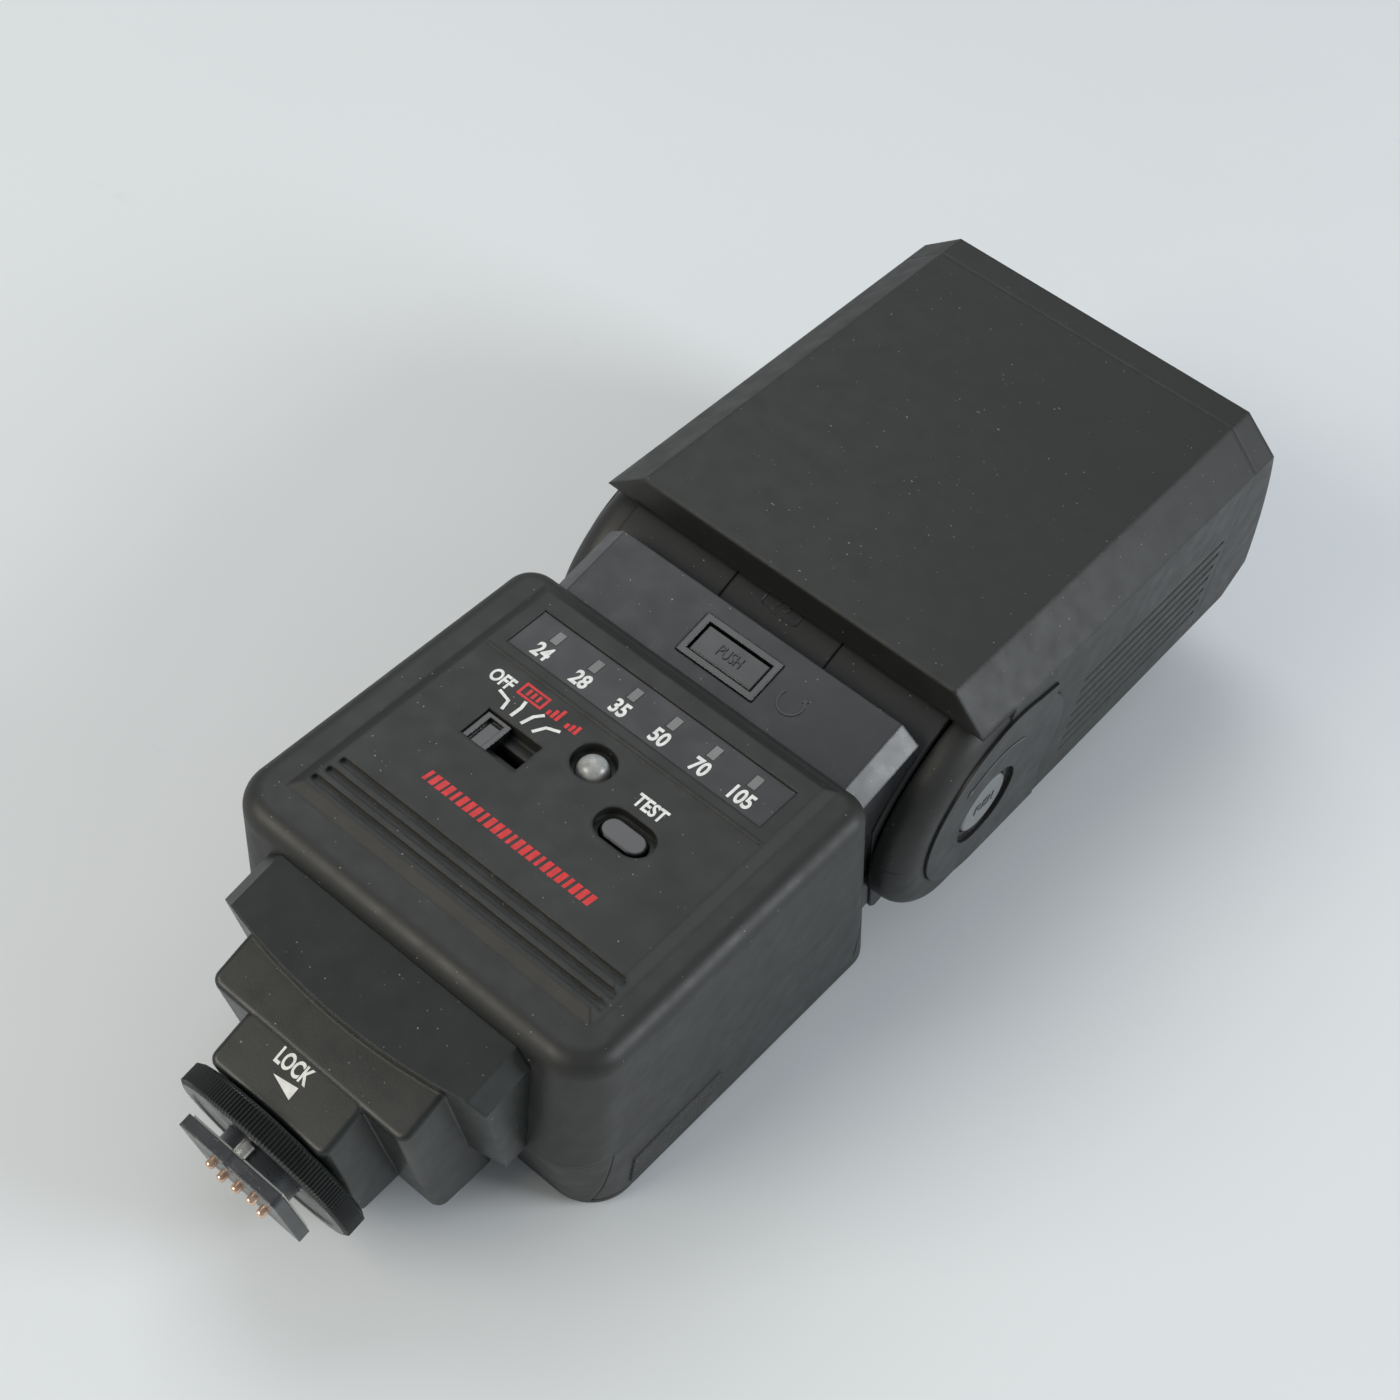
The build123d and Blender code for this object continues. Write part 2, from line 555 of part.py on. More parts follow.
drum = drum_core & block(-60, 60, NECK_LOW + 3.0, 200, NECK_FRONT, 0)
drum -= (
    rod_x(DRUM_R - 2.4, -EAR_INNER + 3.0, EAR_INNER - 3.0, HINGE_USE_Y, HINGE_USE_Z)
    & block(-60, 60, NECK_LOW + 3.0, 200, NECK_FRONT + 2.2, 0)
)
for x in (-10.6, 10.6):
    drum -= rod_x(DRUM_R + 1, x - 0.15, x + 0.15, HINGE_USE_Y, HINGE_USE_Z) - rod_x(
        DRUM_R - 0.35, x - 1, x + 1, HINGE_USE_Y, HINGE_USE_Z
    )
for sx in (-1, 1):
    drum -= rod_x(PIVOT_R, *sorted((sx * 20.0, sx * 40.0)), HINGE_USE_Y, HINGE_USE_Z)
parts["hinge_drum"] = FROM_USE * drum
PIVOT_END = 34.4
pivots = []
for sx in (-1, 1):
    pivots.append(
        rod_x(PIVOT_R, *sorted((sx * (EAR_INNER - 3.0), sx * PIVOT_END)), HINGE_USE_Y, HINGE_USE_Z)
    )
parts["tilt_pivots"] = FROM_USE * Compound(children=pivots)

# =====================================================================================
# Head: shells, bezel, lens, covers, button
# =====================================================================================
HEAD_WALL = 2.0
LIP_R = DRUM_R + 0.7
COVER_THICK = 1.5
COVER_R = 18.4
COVER_Y, COVER_Z = 2.0, 2.6
TILT_BUTTON_R = 5.8
TILT_RECESS_R = 7.6
TILT_TRAVEL = 1.2


def head_side(inset):
    """Y-Z outline of the head from the drum lip to the lens end."""
    low = HEAD_LOW + inset
    top = HEAD_TOP - inset
    with BuildLine(Plane.YZ) as outline:
        a = (LIP_Y + inset, top)
        b = (HEAD_TOP_LONG - inset, top)
        c = (HEAD_TOP_LONG + 0.4 - inset, HEAD_TOP - BEVEL_Z)
        d = (HEAD_LONG - 2.4 - inset, 0)
        e = (HEAD_LONG - inset, HEAD_LOW + 5.6)
        f = (HEAD_LONG - 5.6 - inset, low)
        g = (0, low)
        h = (0, HEAD_TOP - 6)
        Polyline(a, b, c)
        ThreePointArc(c, d, e)
        Polyline(e, f, g, h, (LIP_Y + inset, HEAD_TOP - 6), a)
    return make_face(outline.line)


def head_solid(inset):
    half = HEAD_HALF - inset
    main = Pos(-half, 0, 0) * extrude(head_side(inset), amount=2 * half, dir=(1, 0, 0))
    for sx in (-1, 1):
        edge_x = sx * (HEAD_HALF - BEVEL_X - inset)
        wedge = Plane.XZ * Polygon(
            (edge_x, HEAD_TOP - inset),
            (sx * (HEAD_HALF - inset), HEAD_TOP - BEVEL_Z - inset * 0.35),
            (sx * (HEAD_HALF + 5), HEAD_TOP - BEVEL_Z - inset * 0.35),
            (sx * (HEAD_HALF + 5), HEAD_TOP + 5),
            (edge_x, HEAD_TOP + 5),
            align=None,
        )
        main -= extrude(wedge, amount=150, both=True)
    return main


def ear(sx, inset=0):
    disc = rod_x(
        EAR_R - inset, *sorted((sx * EAR_INNER, sx * (HEAD_HALF - inset))), EAR_SHIFT, EAR_SHIFT
    )
    disc = disc & block(-60, 60, -60, 60, HEAD_LOW, 60)
    return disc


head_full = head_solid(0)
for sx in (-1, 1):
    disc = ear(sx)
    outer_edges = [
        e for e in disc.edges()
        if abs(abs(e.center().X) - HEAD_HALF) < 0.01 and e.geom_type != GeomType.LINE
    ]
    disc = fillet(ShapeList(outer_edges), 4.6)
    head_full = head_full - (block(-60, 60, -60, 0.0, -60, HEAD_TOP - 6 + 0.001) & ear(sx)) + disc
drum_space = rod_x(LIP_R, -EAR_INNER, EAR_INNER, 0, 0)
drum_space += block(-EAR_INNER, EAR_INNER, -60, BULKHEAD, -60, 0)
lamp_house = head_solid(HEAD_WALL) & block(-60, 60, BULKHEAD + HEAD_WALL, 200, -60, 60)
head_full = head_full - drum_space - lamp_house

# the bezel is the last part of the head, from a plane square to the head
bezel_zone = block(-60, 60, BEZEL_START, 200, -60, 60)
lens_bezel = head_full & bezel_zone
LENS_WIDE, LENS_TALL, LENS_THICK = 62.0, 31.5, 1.6
LENS_Y, LENS_Z = 86.4, 4.5
lens_place = Pos(0, LENS_Y, LENS_Z) * Rot(X=LENS_TILT)
lens_window = lens_place * Box(LENS_WIDE + 2 * SEAT_GAP, 60, LENS_TALL + 2 * SEAT_GAP)
lens_bezel = (head_solid(0) - (head_solid(HEAD_WALL) & block(-60, 60, -10, 86, -60, 60))) & bezel_zone
lens_bezel -= lens_window & bezel_zone
# slot above the lens for the pull-out wide panel
WIDE_HALF, WIDE_Z = 27.0, 25.2
WIDE_TRAVEL = 26.0
lens_bezel -= block(
    -WIDE_HALF - SLIDE_GAP, WIDE_HALF + SLIDE_GAP, BEZEL_START - 1, 95,
    WIDE_Z - 0.6 - SLIDE_GAP, WIDE_Z + 0.6 + SLIDE_GAP,
)
head_shells = head_full - bezel_zone

# ribbed sides
RIB_Y0, RIB_Y1 = 26.5, 72.0
for sx in (-1, 1):
    for i in range(7):
        z = 8.6 - 3.1 * i
        head_shells -= block(
            *sorted((sx * (HEAD_HALF - 0.7), sx * (HEAD_HALF + 1))),
            RIB_Y0, RIB_Y1, z - 0.55, z + 0.55,
        )

# pockets for the ear covers, bores for the pivots, well for the tilt button


def cover_plate(sx, inset, x_in, x_out):
    x0, x1 = sorted((sx * x_in, sx * x_out))
    r = COVER_R - inset
    tail = [(COVER_Y, COVER_Z + r), (14.0 - inset, 19.0 - inset), (20.4 - inset, -17.0), (COVER_Y, -17.0)]
    plate = rod_x(r, x0, x1, COVER_Y, COVER_Z) + side_prism(tail, x0, x1)
    return plate & block(-60, 60, -60, 60, HEAD_LOW + 0.9 + inset, 60)


cover_in = WIDTH / 2 - COVER_THICK
ear_covers = {}
for sx, name in ((-1, "left_ear_cover"), (1, "right_ear_cover")):
    head_shells -= cover_plate(sx, 0.0, cover_in, WIDTH / 2 + 2)
    head_shells -= rod_x(PIVOT_R + RUN_GAP, *sorted((sx * 30.0, sx * (PIVOT_END + 0.2))), 0, 0)
    ear_covers[name] = cover_plate(sx, SEAT_GAP, cover_in, WIDTH / 2)
head_shells -= rod_x(TILT_BUTTON_R + SLIDE_GAP, PIVOT_END + 0.2, 45, 0, 0)
ear_covers["right_ear_cover"] -= rod_x(TILT_RECESS_R, cover_in + 0.6, 45, 0, 0)
ear_covers["right_ear_cover"] -= rod_x(TILT_BUTTON_R + SLIDE_GAP, 30, 45, 0, 0)
for name, plate in ear_covers.items():
    parts[name] = FROM_HEAD * plate
tilt_button = rod_x(TILT_BUTTON_R, PIVOT_END + 0.3 + TILT_TRAVEL, WIDTH / 2 - 0.4, 0, 0)
tilt_button = fillet(tilt_button.faces().sort_by(Axis.X)[-1].edges(), 0.6)
parts["tilt_button"] = FROM_HEAD * tilt_button

parts["lens_bezel"] = FROM_HEAD * lens_bezel

# Fresnel lens, sloped like the lens end
parts["fresnel_lens"] = FROM_HEAD * lens_place * Box(LENS_WIDE, LENS_THICK, LENS_TALL)

wide_panel = block(-WIDE_HALF, WIDE_HALF, 46.0, 78.0, WIDE_Z - 0.6, WIDE_Z + 0.6)
parts["wide_panel"] = FROM_HEAD * wide_panel

# lamp: reflector, tube, carriage, rods, screw and motor
ZOOM_TRAVEL = 15.0
DRIVE_Z = -11.4
MOTOR_END = BULKHEAD + HEAD_WALL + 8.0
REF_BACK, REF_FRONT = 56.0, 74.0
mouth = Plane(origin=(0, REF_FRONT, 4.6), x_dir=(1, 0, 0), z_dir=(0, 1, 0))
throat = Plane(origin=(0, REF_BACK, 4.6), x_dir=(1, 0, 0), z_dir=(0, 1, 0))
outer_ref = loft([throat * Rectangle(50, 9), mouth * Rectangle(56, 28)])
inner_ref = loft([throat * Rectangle(48.6, 7.6), mouth * Rectangle(54.6, 26.6)])
reflector = outer_ref - inner_ref
back_wall = block(-25, 25, REF_BACK - 1.0, REF_BACK, 0.1, 9.1)
tube_y, tube_z = REF_BACK + 3.0, 4.6
reflector = reflector + back_wall - rod_x(2.3, -40, 40, tube_y, tube_z)
parts["reflector"] = FROM_HEAD * reflector
parts["flash_tube"] = FROM_HEAD * rod_x(2.1, -29.0, 29.0, tube_y, tube_z)
carriage = block(-29.5, 29.5, REF_BACK - 3.4, REF_BACK - 1.0, HEAD_LOW + HEAD_WALL + 0.5, 15.0)
for sx in (-1, 1):
    carriage += block(*sorted((sx * 27.0, sx * 29.5)), REF_BACK - 1.0, REF_BACK + 5.6, 1.0, 8.2)
    carriage -= rod_x(2.1 + RUN_GAP, *sorted((sx * 26.0, sx * 31.0)), tube_y, tube_z)
ROD_R = 1.0
SCREW_DRIVE_R = 1.5
rods = []
for sx in (-1, 1):
    carriage -= rod_y(ROD_R + RUN_GAP, 0, 100, sx * 22.0, DRIVE_Z)
    rods.append(rod_y(ROD_R, BULKHEAD + HEAD_WALL, BEZEL_START - 1.5, sx * 22.0, DRIVE_Z))
carriage -= rod_y(SCREW_DRIVE_R + RUN_GAP, 0, 100, 0, DRIVE_Z)
hangers = [
    block(x - 3, x + 3, BEZEL_START - 3.5, BEZEL_START - 1.5, HEAD_LOW + HEAD_WALL - 0.5, DRIVE_Z + 2.0)
    for x in (-22.0, 0.0, 22.0)
]
for hanger in hangers:
    head_shells += hanger
for x in (-22.0, 22.0):
    head_shells -= rod_y(ROD_R, BULKHEAD + HEAD_WALL, 100, x, DRIVE_Z)
head_shells -= rod_y(SCREW_DRIVE_R + RUN_GAP, MOTOR_END, 100, 0, DRIVE_Z)
top_half = block(-60, 60, -60, 200, 0, 60)
low_half = block(-60, 60, -60, 200, -60, 0)
parts["head_top_shell"] = FROM_HEAD * (head_shells & top_half)
parts["head_low_shell"] = FROM_HEAD * (head_shells & low_half)
parts["zoom_carriage"] = FROM_HEAD * carriage
parts["guide_rods"] = FROM_HEAD * Compound(children=rods)
zoom_motor = rod_y(3.1, BULKHEAD + HEAD_WALL, MOTOR_END, 0, DRIVE_Z)
parts["zoom_motor"] = FROM_HEAD * zoom_motor
parts["lead_screw"] = FROM_HEAD * rod_y(SCREW_DRIVE_R, MOTOR_END, BEZEL_START - 1.5, 0, DRIVE_Z)

# =====================================================================================
# Set the whole flash down: lowest point on z = 0, origin under the middle of its box
# =====================================================================================
swell_run = case_end_at(CASE_LOW_Z - CASE_SWELL, 0) - CASE_FOOT - FOOT_DRAFT - FRONT_DRAFT
LIE = math.degrees(math.atan2(CASE_SWELL, swell_run))
lie_flat = Rot(X=LIE)
low = [1e9] * 3
high = [-1e9] * 3
for shape in parts.values():
    box = (lie_flat * shape).bounding_box()
    for i in range(3):
        low[i] = min(low[i], tuple(box.min)[i])
        high[i] = max(high[i], tuple(box.max)[i])
print("lies at", LIE, "set down by", [-(low[0] + high[0]) / 2, -(low[1] + high[1]) / 2, -low[2]])
set_down = Pos(-(low[0] + high[0]) / 2, -(low[1] + high[1]) / 2, -low[2])
for node, shape in parts.items():
    export_step(set_down * lie_flat * shape, f"parts/{node}.step")
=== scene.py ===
import json
import math

import bmesh
import bpy
from mathutils import Matrix, Vector


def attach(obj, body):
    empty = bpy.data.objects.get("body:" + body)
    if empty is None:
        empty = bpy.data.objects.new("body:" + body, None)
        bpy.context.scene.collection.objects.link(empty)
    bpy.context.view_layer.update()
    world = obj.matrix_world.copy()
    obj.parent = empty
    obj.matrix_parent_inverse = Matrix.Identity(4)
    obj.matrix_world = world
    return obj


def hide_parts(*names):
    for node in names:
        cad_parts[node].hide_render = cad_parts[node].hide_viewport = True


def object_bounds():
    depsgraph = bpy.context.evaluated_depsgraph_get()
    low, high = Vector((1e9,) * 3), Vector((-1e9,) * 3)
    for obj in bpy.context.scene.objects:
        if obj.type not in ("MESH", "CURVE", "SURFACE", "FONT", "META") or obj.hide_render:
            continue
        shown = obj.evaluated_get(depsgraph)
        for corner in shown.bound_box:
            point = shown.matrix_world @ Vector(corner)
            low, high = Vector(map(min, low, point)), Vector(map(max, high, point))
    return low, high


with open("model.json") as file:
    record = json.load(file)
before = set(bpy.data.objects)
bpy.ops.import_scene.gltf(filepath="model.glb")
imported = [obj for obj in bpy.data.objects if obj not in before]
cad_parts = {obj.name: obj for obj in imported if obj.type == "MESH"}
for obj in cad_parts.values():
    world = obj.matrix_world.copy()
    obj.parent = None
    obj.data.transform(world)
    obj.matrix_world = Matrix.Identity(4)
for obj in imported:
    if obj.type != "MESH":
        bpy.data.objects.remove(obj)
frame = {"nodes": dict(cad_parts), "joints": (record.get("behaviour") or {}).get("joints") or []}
cad_low, cad_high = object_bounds()

# ---------------------------------------------------------------------------
# Where the flash lies. It rests on the sloping front of its case, panel up.
# The joints give the directions of the case, and the tilt joint gives the
# hinge between neck and head. Shapes below are in millimetres in these frames.
# ---------------------------------------------------------------------------
MM = 0.001
TO_METRES = Matrix.Diagonal((MM, MM, MM, 1.0))
nodes = frame["nodes"]
joints = {joint["name"]: joint for joint in frame["joints"]}
case_along = Vector(joints["wide_panel_pull"]["axis"]).normalized()
case_up = -Vector(joints["test_press"]["axis"]).normalized()
case_across = case_along.cross(case_up).normalized()
hinge = Vector(joints["tilt"]["pos_m"])
HEAD = Matrix((case_across, case_along, case_up)).transposed().to_4x4()
HEAD.translation = hinge
HINGE_IN_CASE = Vector((0.0, 93.0, -27.3)) * MM
CASE = HEAD @ Matrix.Translation(-HINGE_IN_CASE)
CASE_LEAN = math.radians(15.0)
USE = CASE @ Matrix.Rotation(CASE_LEAN, 4, "X")


def at(x, y, z):
    return Matrix.Translation(Vector((x, y, z)) * MM)


# ---------------------------------------------------------------------------
# Battery case: back cover, front cover and battery door. Injection-moulded
# ABS, charcoal with a fine spark-eroded grain, a little smoother on its edges
# and lighter there in colour, partly rub wear and partly a painted edge
# highlight, with a few specks of dust.
# ---------------------------------------------------------------------------
CHARCOAL = (0.0125, 0.0135, 0.0125)
CASE_GLOSS = 0.50
CASE_GRAIN_PER_M = 4200.0


def new_material(name):
    material = bpy.data.materials.new(name)
    material.use_nodes = True
    tree = material.node_tree
    tree.nodes.clear()
    out = tree.nodes.new("ShaderNodeOutputMaterial")
    shader = tree.nodes.new("ShaderNodeBsdfPrincipled")
    tree.links.new(shader.outputs["BSDF"], out.inputs["Surface"])
    return material, tree, shader


def noise(tree, scale, detail=2.0, stretch=(1.0, 1.0, 1.0)):
    """Solid noise, scale in cells per metre, so it doesn't depend on any unwrapping."""
    place = tree.nodes.new("ShaderNodeTexCoord")
    mapping = tree.nodes.new("ShaderNodeMapping")
    mapping.inputs["Scale"].default_value = stretch
    texture = tree.nodes.new("ShaderNodeTexNoise")
    texture.inputs["Scale"].default_value = scale
    texture.inputs["Detail"].default_value = detail
    tree.links.new(place.outputs["Object"], mapping.inputs["Vector"])
    tree.links.new(mapping.outputs["Vector"], texture.inputs["Vector"])
    return texture.outputs["Fac"]


def spread(tree, value, low, high, to_low, to_high):
    """value from low to high becomes to_low to to_high, and stays inside them."""
    node = tree.nodes.new("ShaderNodeMapRange")
    node.inputs["From Min"].default_value = low
    node.inputs["From Max"].default_value = high
    node.inputs["To Min"].default_value = to_low
    node.inputs["To Max"].default_value = to_high
    tree.links.new(value, node.inputs["Value"])
    return node.outputs["Result"]


def times(tree, a, b):
    node = tree.nodes.new("ShaderNodeMath")
    node.operation = "MULTIPLY"
    tree.links.new(a, node.inputs[0])
    tree.links.new(b, node.inputs[1])
    return node.outputs["Value"]


def blend_colour(tree, share, a, b):
    """a where share is 0 and b where it is 1. a and b are colours or outputs."""
    node = tree.nodes.new("ShaderNodeMix")
    node.data_type = "RGBA"
    tree.links.new(share, node.inputs["Factor"])
    for socket, value in ((node.inputs[6], a), (node.inputs[7], b)):
        if isinstance(value, bpy.types.NodeSocket):
            tree.links.new(value, socket)
        else:
            socket.default_value = (*value, 1.0)
    return node.outputs[2]


def scaled(colour, k):
    return tuple(min(1.0, c * k) for c in colour)


def moulded(name, colour, gloss, grain=0.30, grain_per_m=CASE_GRAIN_PER_M, edge=2.0, edge_mm=0.5,
            dust=0.55, drift=0.12, coat=0.0, metal=0.0, scratch=0.0):
    """A moulded or machined finish: grain, patchy gloss, edges lighter in colour (partly rub wear,
    partly a painted edge highlight), dust.
    """
    material, tree, shader = new_material(name)
    link = tree.links.new
    soft_edge = tree.nodes.new("ShaderNodeBevel")
    soft_edge.samples = 4
    soft_edge.inputs["Radius"].default_value = edge_mm * MM
    surface = tree.nodes.new("ShaderNodeNewGeometry")
    turn = tree.nodes.new("ShaderNodeVectorMath")
    turn.operation = "DOT_PRODUCT"
    link(soft_edge.outputs["Normal"], turn.inputs[0])
    link(surface.outputs["Normal"], turn.inputs[1])
    # edge mask: lighter colour along every edge, partly rub wear and partly a painted edge highlight
    edge_wear_and_highlight = spread(tree, turn.outputs["Value"], 0.99, 0.86, 0.0, 1.0)
    edge_wear_and_highlight = times(tree, edge_wear_and_highlight, spread(tree, noise(tree, 420.0, 3.0), 0.36, 0.62, 0.25, 1.0))
    patches = spread(tree, noise(tree, 55.0, 3.0), 0.36, 0.64, 0.0, 1.0)
    tone = blend_colour(tree, patches, scaled(colour, 1 - drift), scaled(colour, 1 + drift))
    tone = blend_colour(tree, edge_wear_and_highlight, tone, scaled(colour, edge))
    if dust:
        specks = spread(tree, noise(tree, 2300.0, 0.0), 0.855, 0.875, 0.0, dust)
        tone = blend_colour(tree, specks, tone, (0.42, 0.42, 0.40))
    link(tone, shader.inputs["Base Color"])
    link(
        spread(tree, noise(tree, 240.0, 5.0), 0.3, 0.7, gloss - 0.05, gloss + 0.06),
        shader.inputs["Roughness"],
    )
    height = noise(tree, grain_per_m, 2.0)
    bump = tree.nodes.new("ShaderNodeBump")
    bump.inputs["Strength"].default_value = grain
    bump.inputs["Distance"].default_value = 0.05 * MM
    link(height, bump.inputs["Height"])
    if scratch:
        lines = spread(tree, noise(tree, 300.0, 2.0, (1.0, 26.0, 1.0)), 0.66, 0.70, 0.0, 1.0)
        rub = tree.nodes.new("ShaderNodeBump")
        rub.inputs["Strength"].default_value = scratch
        rub.inputs["Distance"].default_value = 0.03 * MM
        link(lines, rub.inputs["Height"])
        link(soft_edge.outputs["Normal"], rub.inputs["Normal"])
        link(rub.outputs["Normal"], bump.inputs["Normal"])
    else:
        link(soft_edge.outputs["Normal"], bump.inputs["Normal"])
    link(bump.outputs["Normal"], shader.inputs["Normal"])
    shader.inputs["Metallic"].default_value = metal
    shader.inputs["Coat Weight"].default_value = coat
    shader.inputs["Coat Roughness"].default_value = 0.06
    return material


def finish_nodes(material, *names):
    """Gives carried-over CAD nodes a finish."""
    for name in names:
        mesh = nodes[name].data
        mesh.materials.clear()
        mesh.materials.append(material)


charcoal = moulded("charcoal_abs", CHARCOAL, CASE_GLOSS, edge_mm=0.7, drift=0.06)
finish_nodes(charcoal, "back_cover", "front_cover")
door_charcoal = moulded("door_abs", scaled(CHARCOAL, 0.9), 0.46)
finish_nodes(door_charcoal, "battery_door")

# ---------------------------------------------------------------------------
# Marks on the control panel. Pad-printed white and red ink, a few hundredths
# of a millimetre thick, slightly uneven in tone and gloss across the print.
# ---------------------------------------------------------------------------
INK_THICK = 0.03
INK_WHITE = (0.78, 0.79, 0.77)
INK_RED = (0.62, 0.012, 0.014)
LETTER_HIGH = 2.95
LETTER_NARROW = 0.74
PANEL_Z = 0.0
STRIP_Z = -0.25


def ink(name, colour):
    material, tree, shader = new_material(name)
    patches = spread(tree, noise(tree, 900.0, 4.0), 0.35, 0.65, 0.0, 1.0)
    tone = blend_colour(tree, patches, scaled(colour, 0.82), colour)
    tree.links.new(tone, shader.inputs["Base Color"])
    rough = spread(tree, noise(tree, 1600.0, 3.0), 0.3, 0.7, 0.36, 0.52)
    tree.links.new(rough, shader.inputs["Roughness"])
    bump = tree.nodes.new("ShaderNodeBump")
    bump.inputs["Strength"].default_value = 0.25
    bump.inputs["Distance"].default_value = 0.02 * MM
    tree.links.new(noise(tree, 5200.0, 2.0), bump.inputs["Height"])
    tree.links.new(bump.outputs["Normal"], shader.inputs["Normal"])
    return material


white_ink = ink("white_ink", INK_WHITE)
red_ink = ink("red_ink", INK_RED)


def add_piece(name, mesh, material, body):
    piece = bpy.data.objects.new(name, mesh)
    bpy.context.scene.collection.objects.link(piece)
    mesh.materials.clear()
    mesh.materials.append(material)
    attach(piece, body)
    return piece


def lettering(name, words, height, place, material, body, narrow=LETTER_NARROW,
              thick=INK_THICK, heavy=0.085):
    """Words as a thin mesh, centred on place and lying in its X-Y plane."""
    curve = bpy.data.curves.new(name, "FONT")
    curve.body = words
    curve.size = height * 1.36
    curve.align_x = "CENTER"
    curve.align_y = "CENTER"
    curve.offset = heavy * height * 0.5
    curve.extrude = thick / 2
    curve.resolution_u = 4
    draft = bpy.data.objects.new(name + "_draft", curve)
    bpy.context.scene.collection.objects.link(draft)
    bpy.context.view_layer.update()
    depsgraph = bpy.context.evaluated_depsgraph_get()
    mesh = bpy.data.meshes.new_from_object(draft.evaluated_get(depsgraph))
    bpy.data.objects.remove(draft)
    mesh.name = name
    squeeze = Matrix.Diagonal((narrow, 1, 1, 1)) @ Matrix.Translation((0, 0, thick / 2))
    mesh.transform(place @ TO_METRES @ squeeze)
    return add_piece(name, mesh, material, body)


def flat_marks(name, outlines, place, material, body, thick=INK_THICK):
    """Closed outlines in millimetres, as thin plates on the X-Y plane of place."""
    bm = bmesh.new()
    for outline in outlines:
        low = [bm.verts.new((x, y, 0.0)) for x, y in outline]
        high = [bm.verts.new((x, y, thick)) for x, y in outline]
        bm.faces.new(list(reversed(low)))
        bm.faces.new(high)
        for i in range(len(outline)):
            j = (i + 1) % len(outline)
            bm.faces.new((low[i], low[j], high[j], high[i]))
    bmesh.ops.recalc_face_normals(bm, faces=bm.faces)
    mesh = bpy.data.meshes.new(name)
    bm.to_mesh(mesh)
    bm.free()
    mesh.transform(place @ TO_METRES)
    return add_piece(name, mesh, material, body)


def stroke(points, width):
    """The outline of a line of even width through points."""
    left, right = [], []
    for i, (x, y) in enumerate(points):
        x0, y0 = points[max(i - 1, 0)]
        x1, y1 = points[min(i + 1, len(points) - 1)]
        length = math.hypot(x1 - x0, y1 - y0)
        nx, ny = -(y1 - y0) / length * width / 2, (x1 - x0) / length * width / 2
        left.append((x + nx, y + ny))
        right.append((x - nx, y - ny))
    return left + right[::-1]


def arc(x, y, r, start, end, steps=18):
    turns = (math.radians(start + (end - start) * i / steps) for i in range(steps + 1))
    return [(x + r * math.cos(t), y + r * math.sin(t)) for t in turns]


SCALE = ("24", "28", "35", "50", "70", "105")
LIGHT_X0, LIGHT_STEP, SCALE_Y = -19.6, 7.75, 47.3
for i, words in enumerate(SCALE):
    place = CASE @ at(LIGHT_X0 + LIGHT_STEP * i, SCALE_Y, STRIP_Z)
    lettering("scale_" + words, words, LETTER_HIGH, place, white_ink, "case")
lettering(
    "mark_off", "OFF", 2.5, CASE @ at(-20.0, 38.9, PANEL_Z), white_ink, "case",
    0.70,
)
lettering(
    "mark_test", "TEST", 2.5, CASE @ at(11.3, 36.3, PANEL_Z), white_ink, "case",
    0.74,
)

# four bent ticks fan out from the slide switch to its four settings
FAN = (
    ((-18.9, 37.2), (-16.6, 36.6), (-16.2, 34.7)),
    ((-14.6, 38.3), (-14.3, 36.9), (-14.4, 34.7)),
    ((-10.9, 38.3), (-11.9, 36.9), (-12.4, 34.7)),
    ((-7.2, 37.6), (-9.2, 36.7), (-10.2, 34.7)),
)
TICK_WIDE = 0.55
fan_strokes = [stroke(line, TICK_WIDE) for line in FAN]
flat_marks("switch_ticks", fan_strokes, CASE @ at(0, 0, PANEL_Z), white_ink, "case")


def box_ring(x0, x1, y0, y1, line):
    """Four bars round a rectangle."""
    return [
        [(x0, y0), (x1, y0), (x1, y0 + line), (x0, y0 + line)],
        [(x0, y1 - line), (x1, y1 - line), (x1, y1), (x0, y1)],
        [(x0, y0 + line), (x0 + line, y0 + line), (x0 + line, y1 - line), (x0, y1 - line)],
        [(x1 - line, y0 + line), (x1, y0 + line), (x1, y1 - line), (x1 - line, y1 - line)],
    ]


def slanted_bar(x, y, wide, high, lean=0.0):
    return [(x - wide / 2, y - high / 2), (x + wide / 2, y - high / 2),
            (x + wide / 2 + lean, y + high / 2), (x - wide / 2 + lean, y + high / 2)]


# red signs for the automatic and the two hand settings: a box and stepped bars
RED_Y = 39.9
red_marks = box_ring(-16.9, -12.1, RED_Y - 1.35, RED_Y + 1.35, 0.42)
red_marks += [slanted_bar(-15.4 + 0.95 * i, RED_Y, 0.5, 1.3) for i in range(3)]
STAIR_STEP, STAIR_WIDE, STAIR_LOW = 0.85, 0.55, RED_Y - 1.25
for stair_x, rise in ((-10.9, 0.75), (-7.3, 0.38)):
    for i in range(3):
        tall = 1.0 + rise * i
        middle = STAIR_LOW + tall / 2
        red_marks.append(slanted_bar(stair_x + STAIR_STEP * i, middle, STAIR_WIDE, tall))
flat_marks("setting_signs", red_marks, CASE @ at(0, 0, PANEL_Z), red_ink, "case")

# a plain red trim row across the panel, long and short slanted bars
TRIM_Y, TRIM_HIGH, TRIM_LEAN = 18.4, 2.1, 0.25
TRIM_START, TRIM_STEP, TRIM_COUNT = -15.4, 1.34, 24
trim = []
for i in range(TRIM_COUNT):
    wide = 0.95 if i % 4 else 0.6
    trim.append(slanted_bar(TRIM_START + TRIM_STEP * i, TRIM_Y, wide, TRIM_HIGH, TRIM_LEAN))
flat_marks("trim_row", trim, CASE @ at(0, 0, PANEL_Z), red_ink, "case")

